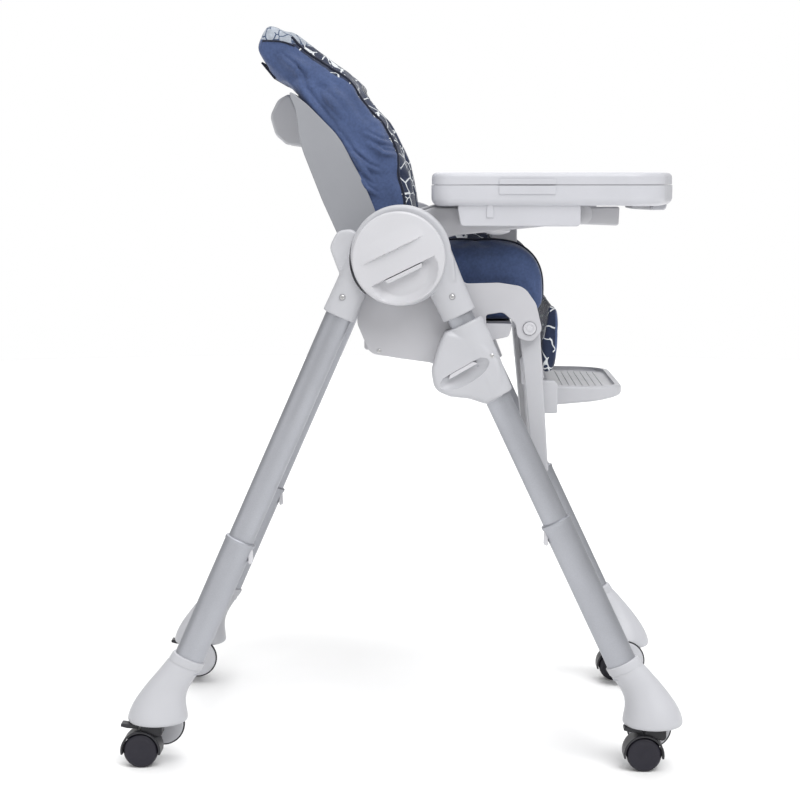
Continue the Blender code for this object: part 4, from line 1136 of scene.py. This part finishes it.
def finishPad(name, bm, body, material, nodes, zones, levels=1):
    obj = plainObject(name, bm)
    for face in obj.data.polygons:
        face.use_smooth = True
    setZones(obj, zones)
    obj.data.materials.append(material)
    if levels:
        subdivision = obj.modifiers.new("finer", "SUBSURF")
        subdivision.levels = levels
        subdivision.render_levels = levels
    if isinstance(body, str):
        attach(obj, body)
    else:
        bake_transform(obj)
    if nodes:
        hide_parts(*nodes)
    return obj


def surfaceOf(bm):
    return BVHTree.FromBMesh(bm)


def eased(points, rounds):
    # average each point with its neighbours, the two ends held
    for _ in range(rounds):
        points = [points[0]] + [(points[i - 1] + points[i] * 2 + points[i + 1]) / 4
                                for i in range(1, len(points) - 1)] + [points[-1]]
    return points


def pathOnSurface(tree, points, lift):
    # drop points on the padding and raise them by lift
    placed = []
    for point in points:
        location, normal, _, _ = tree.find_nearest(point)
        placed.append(location + normal * lift)
    return eased(placed, 3)


def denser(points, step):
    # points along a polyline, evenly close together, with its corners eased
    dense = []
    for first, second in zip(points, points[1:]):
        count = max(1, round((second - first).length / step))
        dense += [first.lerp(second, i / count) for i in range(count)]
    dense.append(points[-1])
    return eased(dense, 10)


backPad = {"half": 0.1715, "dishHalf": 0.120, "paleFrom": 1.0385, "printBack": 0.962, "cap": 0.0075,
           "folds": [([(-0.146, 0.992), (-0.142, 0.970), (-0.125, 0.947), (-0.108, 0.928), (-0.091, 0.905)],
                      0.0080, 0.0085),
                     ([(-0.086, 0.905), (-0.069, 0.880), (-0.046, 0.860), (-0.031, 0.854)], 0.0050, 0.0080),
                     ([(-0.069, 0.877), (-0.057, 0.860), (-0.040, 0.840)], 0.0045, 0.0070),
                     ([(-0.051, 0.908), (-0.029, 0.897), (-0.009, 0.894)], 0.0048, 0.0062),
                     ([(-0.046, 0.894), (-0.023, 0.880), (-0.003, 0.877)], 0.0048, 0.0066),
                     ([(-0.173, 1.017), (-0.153, 1.001), (-0.145, 0.989)], 0.0062, 0.0070),
                     ([(-0.060, 0.848), (-0.049, 0.831), (-0.034, 0.820)], 0.0045, 0.0060),
                     ([(-0.118, 0.965), (-0.098, 0.950), (-0.082, 0.930)], 0.0090, 0.0050)]}


backSeam = [(-0.1885, 1.0620), (-0.160, 1.0460), (-0.128, 1.0215), (-0.068, 0.9800), (-0.0215, 0.922),
            (0.0035, 0.866), (0.0195, 0.800), (0.0160, 0.768), (-0.010, 0.716)]


def crestShare(height):
    # 1 where the seam runs on the crest of the wing, 0 where it has moved round to the side
    share = max(0.0, min(1.0, (height - 0.845) / 0.055))
    return share * share * (3 - 2 * share)


def seamInset(height):
    return 0.0010 + 0.0070 * crestShare(height)


def seamBack(height):
    return 0.0125 * (1 - crestShare(height))


def wingFront(height):
    # how far forward the seam line lies at this height
    for (upper, top), (lower, bottom) in zip(backSeam, backSeam[1:]):
        if top >= height >= bottom:
            return lower + (upper - lower) * (height - bottom) / (top - bottom)
    return backSeam[0][0] if height > backSeam[0][1] else backSeam[-1][0]


def finer(bm):
    # one level of subdivision, baked, so that narrow creases have points to hold them
    obj = plainObject("finer", bm)
    subdivision = obj.modifiers.new("finer", "SUBSURF")
    subdivision.levels = 1
    subdivision.render_levels = 1
    return takenBack(bakeModifiers(obj))


def makeBackPad():
    plan = backPad
    outline = [(-0.1480, 0.9640), (-0.1380, 0.941, 0.030), (-0.1310, 0.892, 0.080), (-0.1000, 0.812, 0.080),
               (-0.0770, 0.762, 0.080), (-0.0520, 0.7085), (-0.014, 0.7085, 0.010), (0.0165, 0.765, 0.020),
               (0.0205, 0.800, 0.040), (0.0045, 0.868, 0.090), (-0.0215, 0.924, 0.100),
               (-0.068, 0.982, 0.120), (-0.128, 1.0235, 0.080), (-0.160, 1.0475, 0.050),
               (-0.195, 1.0690, 0.010), (-0.2095, 1.030, 0.010), (-0.1960, 1.0085, 0.010),
               (-0.1620, 0.9790, 0.006)]
    bm = narrow(sideSolid(outline, -plan["half"], plan["half"], 0.0125, 4))
    dish = [(-0.010, 0.690), (0.080, 0.690), (0.080, 0.990), (-0.052, 0.990, 0.020), (-0.074, 0.955, 0.040),
            (-0.066, 0.900, 0.080), (-0.044, 0.800, 0.060)]
    scoop = narrow(sideSolid(dish, -plan["dishHalf"], plan["dishHalf"], 0.022, 4))
    bm = carved(bm, [scoop])

    def hold(point):
        # the back of the pad lies against the shell
        forward, height = forwardOf(point), point.z
        rear = -0.1475 + (0.9780 - height) * 0.35
        if height < 0.985 and forward < rear + 0.03:
            return 0.15
        if height >= 0.985 and forward < -0.1830 + (1.0200 - height) * -0.5:
            return 0.35
        return 1.0

    bm = finer(puffed(bm, "backPad", plan["cap"], hold))
    for vert in bm.verts:
        creaseSide(vert, plan["half"] * backWidth(vert.co.z), plan["folds"])
        ripple = noise.noise(vert.co * 34.0) * 0.0011 + noise.noise(vert.co * 13.0) * 0.0012
        vert.co += vert.normal * ripple
    tree = surfaceOf(bm)
    for side, sign in sides.items():
        points = []
        for place in denser([Vector((0, forward, height)) for forward, height in backSeam[1:]], 0.006):
            across = plan["half"] * backWidth(place.z) - seamInset(place.z)
            lift = 0.006 * crestShare(place.z)
            points.append(spot(place.y + lift - seamBack(place.z), place.z + lift * 0.7, sign * across))
        path = pathOnSurface(tree, points, 0.0004)
        piping = tubeAlong(path, 0.0021, 12)
        finishPiece(f"back_piping_{side}", piping, "backrest", finish["piping"],
                    weighted=False)

    def printed(point):
        # in front of the seam: away from the side panel, and not on the back
        inner = plan["half"] * backWidth(point.z) - seamInset(point.z) - abs(point.x)
        share = crestShare(point.z)
        if share < 1:
            ahead = forwardOf(point) - wingFront(point.z) + seamBack(point.z)
            inner = max(inner, ahead - 0.10 * share)
        if point.z < plan["printBack"]:
            return inner * 100
        rearLine = (forwardOf(point) + 0.184) * 0.85 - (1.060 - point.z) * 0.45
        return min(inner, rearLine) * 100

    def pale(point):
        # the pale band starts a little lower at the front
        return (point.z - plan["paleFrom"] + 0.12 * (forwardOf(point) + 0.17)) * 100

    finishPad("back_pad", bm, "backrest", finish["pad"], ["backrest_cushion"],
              {"printed": printed, "pale": pale}, levels=0)
    # dark tape along the seam between the pale band and the rest, and the loop behind
    for side, sign in sides.items():
        points = [spot(-0.2005, 1.0405, sign * 0.137), spot(-0.176, 1.0395, sign * 0.1375),
                  spot(-0.150, 1.0365, sign * 0.1370)]
        path = pathOnSurface(tree, denser(points, 0.004), 0.0003)
        finishPiece(f"band_piping_{side}", tubeAlong(path, 0.0014, 10), "backrest", finish["piping"],
                    weighted=False)
    tape = sideSolid([(-0.2035, 1.0095, 0.001), (-0.1840, 0.9860, 0.001), (-0.1815, 0.9880, 0.001),
                      (-0.2010, 1.0115, 0.001)], -0.118, 0.118, 0.0005, 2)
    finishPiece("back_tape", tape, "backrest", finish["piping"])


makeBackPad()
print("back pad made")


seatPad = {"half": 0.1790, "wellHalf": 0.133, "seam": 0.158, "cap": 0.0065,
           "folds": [([(0.060, 0.748), (0.085, 0.744), (0.110, 0.748)], 0.006, 0.0020),
                     ([(0.196, 0.668), (0.188, 0.690), (0.176, 0.706)], 0.006, 0.0024),
                     ([(0.120, 0.705), (0.150, 0.709), (0.176, 0.700)], 0.007, 0.0018)]}


def makeSeatPad():
    plan = seatPad
    outline = [(-0.002, 0.6425, 0.004), (0.184, 0.6425, 0.012), (0.2070, 0.667, 0.012),
               (0.2030, 0.722, 0.050), (0.170, 0.7535, 0.045), (0.036, 0.7535, 0.014), (-0.002, 0.700, 0.010)]
    bm = sideSolid(outline, -plan["half"], plan["half"], 0.0125, 4)
    well = sideSolid([(-0.02, 0.675), (0.188, 0.675, 0.030), (0.250, 0.640), (0.250, 0.80), (-0.02, 0.80)],
                     -plan["wellHalf"], plan["wellHalf"], 0.018, 4)
    slot = sideSolid([(0.126, 0.60), (0.180, 0.60), (0.180, 0.70), (0.126, 0.70)], -0.028, 0.028)
    bm = carved(bm, [well, slot])

    def hold(point):
        # the underside lies on the pan, and the post needs its slot
        if point.z < 0.655 or (abs(point.x) < 0.040 and 0.110 < forwardOf(point) < 0.190):
            return 0.1
        return 1.0

    bm = puffed(bm, "seatPad", plan["cap"], hold, 4)
    for vert in bm.verts:
        creaseSide(vert, plan["half"], plan["folds"])
        if vert.co.z > 0.65:
            vert.co += vert.normal * (noise.noise(vert.co * 30.0) * 0.0010
                                      + noise.noise(vert.co * 12.0) * 0.0010)
    tree = surfaceOf(bm)
    seam = [(0.004, 0.715), (0.034, 0.7545), (0.100, 0.7555), (0.165, 0.7550), (0.198, 0.732),
            (0.2065, 0.700), (0.2080, 0.668)]
    for side, sign in sides.items():
        points = [spot(forward + 0.002, height + 0.004, sign * plan["seam"]) for forward, height in seam]
        path = pathOnSurface(tree, denser(points, 0.006), 0.0006)
        finishPiece(f"seat_piping_{side}", tubeAlong(path, 0.0020, 12), "seat", finish["piping"],
                    weighted=False)
    finishPad("seat_pad", bm, "seat", finish["pad"], ["seat_cushion"],
              {"printed": lambda point: (plan["seam"] - abs(point.x)) * 100,
               "pale": lambda point: -1.0})
    return tree


seatTree = makeSeatPad()
print("seat pad made")


def makeRestPad():
    outline = [(0.2055, 0.5645, 0.005), (0.2205, 0.5635, 0.006), (0.2245, 0.600, 0.060),
               (0.2258, 0.640, 0.040), (0.2235, 0.660, 0.008), (0.2140, 0.6655, 0.006),
               (0.2135, 0.650, 0.010), (0.2080, 0.618, 0.010), (0.2035, 0.612, 0.004)]
    bm = sideSolid(outline, -0.160, 0.160, 0.0050, 3)
    bm = puffed(bm, "restPad", 0.0028, lambda point: 1.0 if forwardOf(point) > 0.215 else 0.1, 2, 0.0036)
    for vert in bm.verts:
        # two sewn channels across, and a gentle ripple
        for height in (0.5920, 0.6250):
            away = (vert.co.z - height) / 0.0030
            if forwardOf(vert.co) > 0.214 and abs(vert.co.x) < 0.150:
                vert.co.y += 0.0022 * math.exp(-away * away)
        vert.co += vert.normal * noise.noise(vert.co * 40.0) * 0.0006
    body = {"bodies": ("seat", "legrest"), "start": tuple(spot(0.214, 0.664)),
            "end": tuple(spot(0.214, 0.622))}
    finishPad("leg_pad", bm, body, finish["pad"], ["legrest_pad"],
              {"printed": lambda point: max(0.2242 - forwardOf(point), 0.140 - abs(point.x)) * 100,
               "pale": lambda point: -1.0})


makeRestPad()
print("leg rest pad made")


# harness, buckle and crotch post
def strapAlong(points, half, thick):
    rows = []
    for index, point in enumerate(points):
        ahead = aheadOf(points, index)
        rows.append((point, math.atan2(-ahead.y, ahead.z), thick, half))
    return sweepOvals(rows, 24)


def bandAcross(points, half, thick):
    # strap that runs mostly across the seat, flat side up
    places = []
    for index, point in enumerate(points):
        ahead = aheadOf(points, index).normalized()
        normal = ahead.cross(Vector((0, 1, 0))).normalized()
        turn = Matrix((normal.cross(ahead), normal, ahead)).transposed().to_4x4()
        places.append(Matrix.Translation(point) @ turn @ Matrix.Diagonal((half, thick, 1.0, 1.0)))
    return skinned(places, 20)


def makeHarness():
    post = sideSolid([(0.1335, 0.6400, 0.002), (0.1725, 0.6400, 0.002), (0.1725, 0.793, 0.014),
                      (0.1335, 0.799, 0.014)],
                     -0.0205, 0.0205, 0.0095, 6)
    finishPiece("crotch_bar", post, "seat", finish["light"], ["crotch_post"])
    buckle = sideSolid([(0.060, 0.6745, 0.002), (0.118, 0.6745, 0.002), (0.118, 0.689, 0.006),
                        (0.060, 0.690, 0.007)],
                       -0.0245, 0.0245, 0.0048, 4)
    press = turnedX([(-0.0010, 0.0), (-0.0010, 0.0105), (0.0012, 0.0105), (0.0020, 0.0095), (0.0016, 0.0)],
                    Vector((0, 0, 0)), 32)
    bmesh.ops.rotate(press, verts=press.verts, cent=(0, 0, 0),
                     matrix=Matrix.Rotation(math.radians(-90), 3, "Y"))
    bmesh.ops.translate(press, verts=press.verts, vec=spot(0.089, 0.6893))
    addTo(buckle, press)
    finishPiece("buckle", buckle, "seat", finish["black"], ["harness_buckle"])
    # crotch strap from the top of the post's slot down to the buckle, and the waist straps
    points = denser([spot(0.1310, 0.7640), spot(0.1285, 0.7450), spot(0.1270, 0.7000), spot(0.1230, 0.6860),
                     spot(0.1160, 0.6830)], 0.004)
    finishPiece("crotch_strap", strapAlong(points, 0.0125, 0.0013), "seat", finish["webbing"])
    for side, sign in sides.items():
        points = [spot(0.040, 0.7100, sign * 0.1300), spot(0.050, 0.6870, sign * 0.110),
                  spot(0.070, 0.6800, sign * 0.070), spot(0.086, 0.6810, sign * 0.022)]
        points = denser(points, 0.005)
        placed = pathOnSurface(seatTree, points, 0.0022)
        placed[-4:] = points[-4:]
        finishPiece(f"waist_strap_{side}", bandAcross(placed, 0.0115, 0.0012), "seat", finish["webbing"])


makeHarness()
for side, sign in sides.items():
    knob = bmesh.new()
    place = Matrix.Translation(spot(0.137, 0.7705, sign * 0.2010)) @ Matrix.Diagonal((0.0120, 0.0195, 0.0062,
                                                                                      1.0))
    bmesh.ops.create_uvsphere(knob, u_segments=48, v_segments=24, radius=1.0, matrix=place)
    finishPiece(f"arm_knob_{side}", knob, "seat", finish["cover"])
print("harness made")


# camera, lights and floor
view = {"place": (-2.812, -0.0645, 0.8413), "pitch": 6.83, "turn": -1.527, "lens": 82.67, "sensor": 36.0,
        "surroundLight": 0.40, "floorRadius": 6.0,
        "lamps": [("key", (-2.0, -1.2, 2.9), 40, 2.2), ("fill", (-2.6, 2.4, 1.2), 50, 0.35),
                  ("top", (0.3, 0.2, 3.0), 70, 1.2), ("back", (2.4, 0.4, 1.8), 60, 0.8)]}


def makeStage():
    camera = bpy.data.cameras.new("camera")
    camera.lens = view["lens"]
    camera.sensor_width = view["sensor"]
    cameraObject = bpy.data.objects.new("camera", camera)
    cameraObject.location = view["place"]
    cameraObject.rotation_euler = (math.radians(90 - view["pitch"]), 0, math.radians(-90 - view["turn"]))
    bpy.context.scene.collection.objects.link(cameraObject)
    bpy.context.scene.camera = cameraObject
    bpy.context.scene.view_settings.view_transform = "Standard"
    for name, place, spread, strength in view["lamps"]:
        light = bpy.data.lights.new(name, "SUN")
        light.angle = math.radians(spread)
        light.energy = strength
        lightObject = bpy.data.objects.new(name, light)
        lightObject.location = place
        lightObject.rotation_euler = (-Vector(place)).to_track_quat("-Z", "Y").to_euler()
        bpy.context.scene.collection.objects.link(lightObject)
    # white surroundings, softer as a light than they look
    world = bpy.data.worlds.new("world")
    bpy.context.scene.world = world
    world.use_nodes = True
    nodes = world.node_tree.nodes
    links = world.node_tree.links
    seen = nodes.new("ShaderNodeLightPath")
    surround = nodes["Background"]
    surround.inputs["Color"].default_value = (1.0, 1.0, 1.0, 1.0)
    strengthMix = nodes.new("ShaderNodeMix")
    strengthMix.inputs["A"].default_value = view["surroundLight"]
    strengthMix.inputs["B"].default_value = 1.0
    links.new(seen.outputs["Is Camera Ray"], strengthMix.inputs["Factor"])
    links.new(strengthMix.outputs["Result"], surround.inputs["Strength"])
    # wide round floor under every view
    bm = bmesh.new()
    verts = [bm.verts.new((radius, 0, 0)) for radius in (0.0, view["floorRadius"])]
    edges = [bm.edges.new(pair) for pair in zip(verts, verts[1:])]
    bmesh.ops.spin(bm, geom=verts + edges, cent=(0, 0, 0), axis=(0, 0, 1), angle=2 * math.pi, steps=64,
                   use_merge=True, use_duplicate=False)
    bmesh.ops.remove_doubles(bm, verts=bm.verts, dist=0.0001)
    bmesh.ops.recalc_face_normals(bm, faces=bm.faces)
    floor = plainObject("floor", bm)
    material, nodes, links, shader, coords = startMaterial("floorPaint")
    shade = addNoise(nodes, links, coords, 3.0, 3.0)
    links.new(addRamp(nodes, links, shade, [(0.3, (0.90,) * 3), (0.7, (0.93,) * 3)]),
              shader.inputs["Base Color"])
    shader.inputs["Roughness"].default_value = 0.6
    floor.data.materials.append(material)


makeStage()
print("stage set")
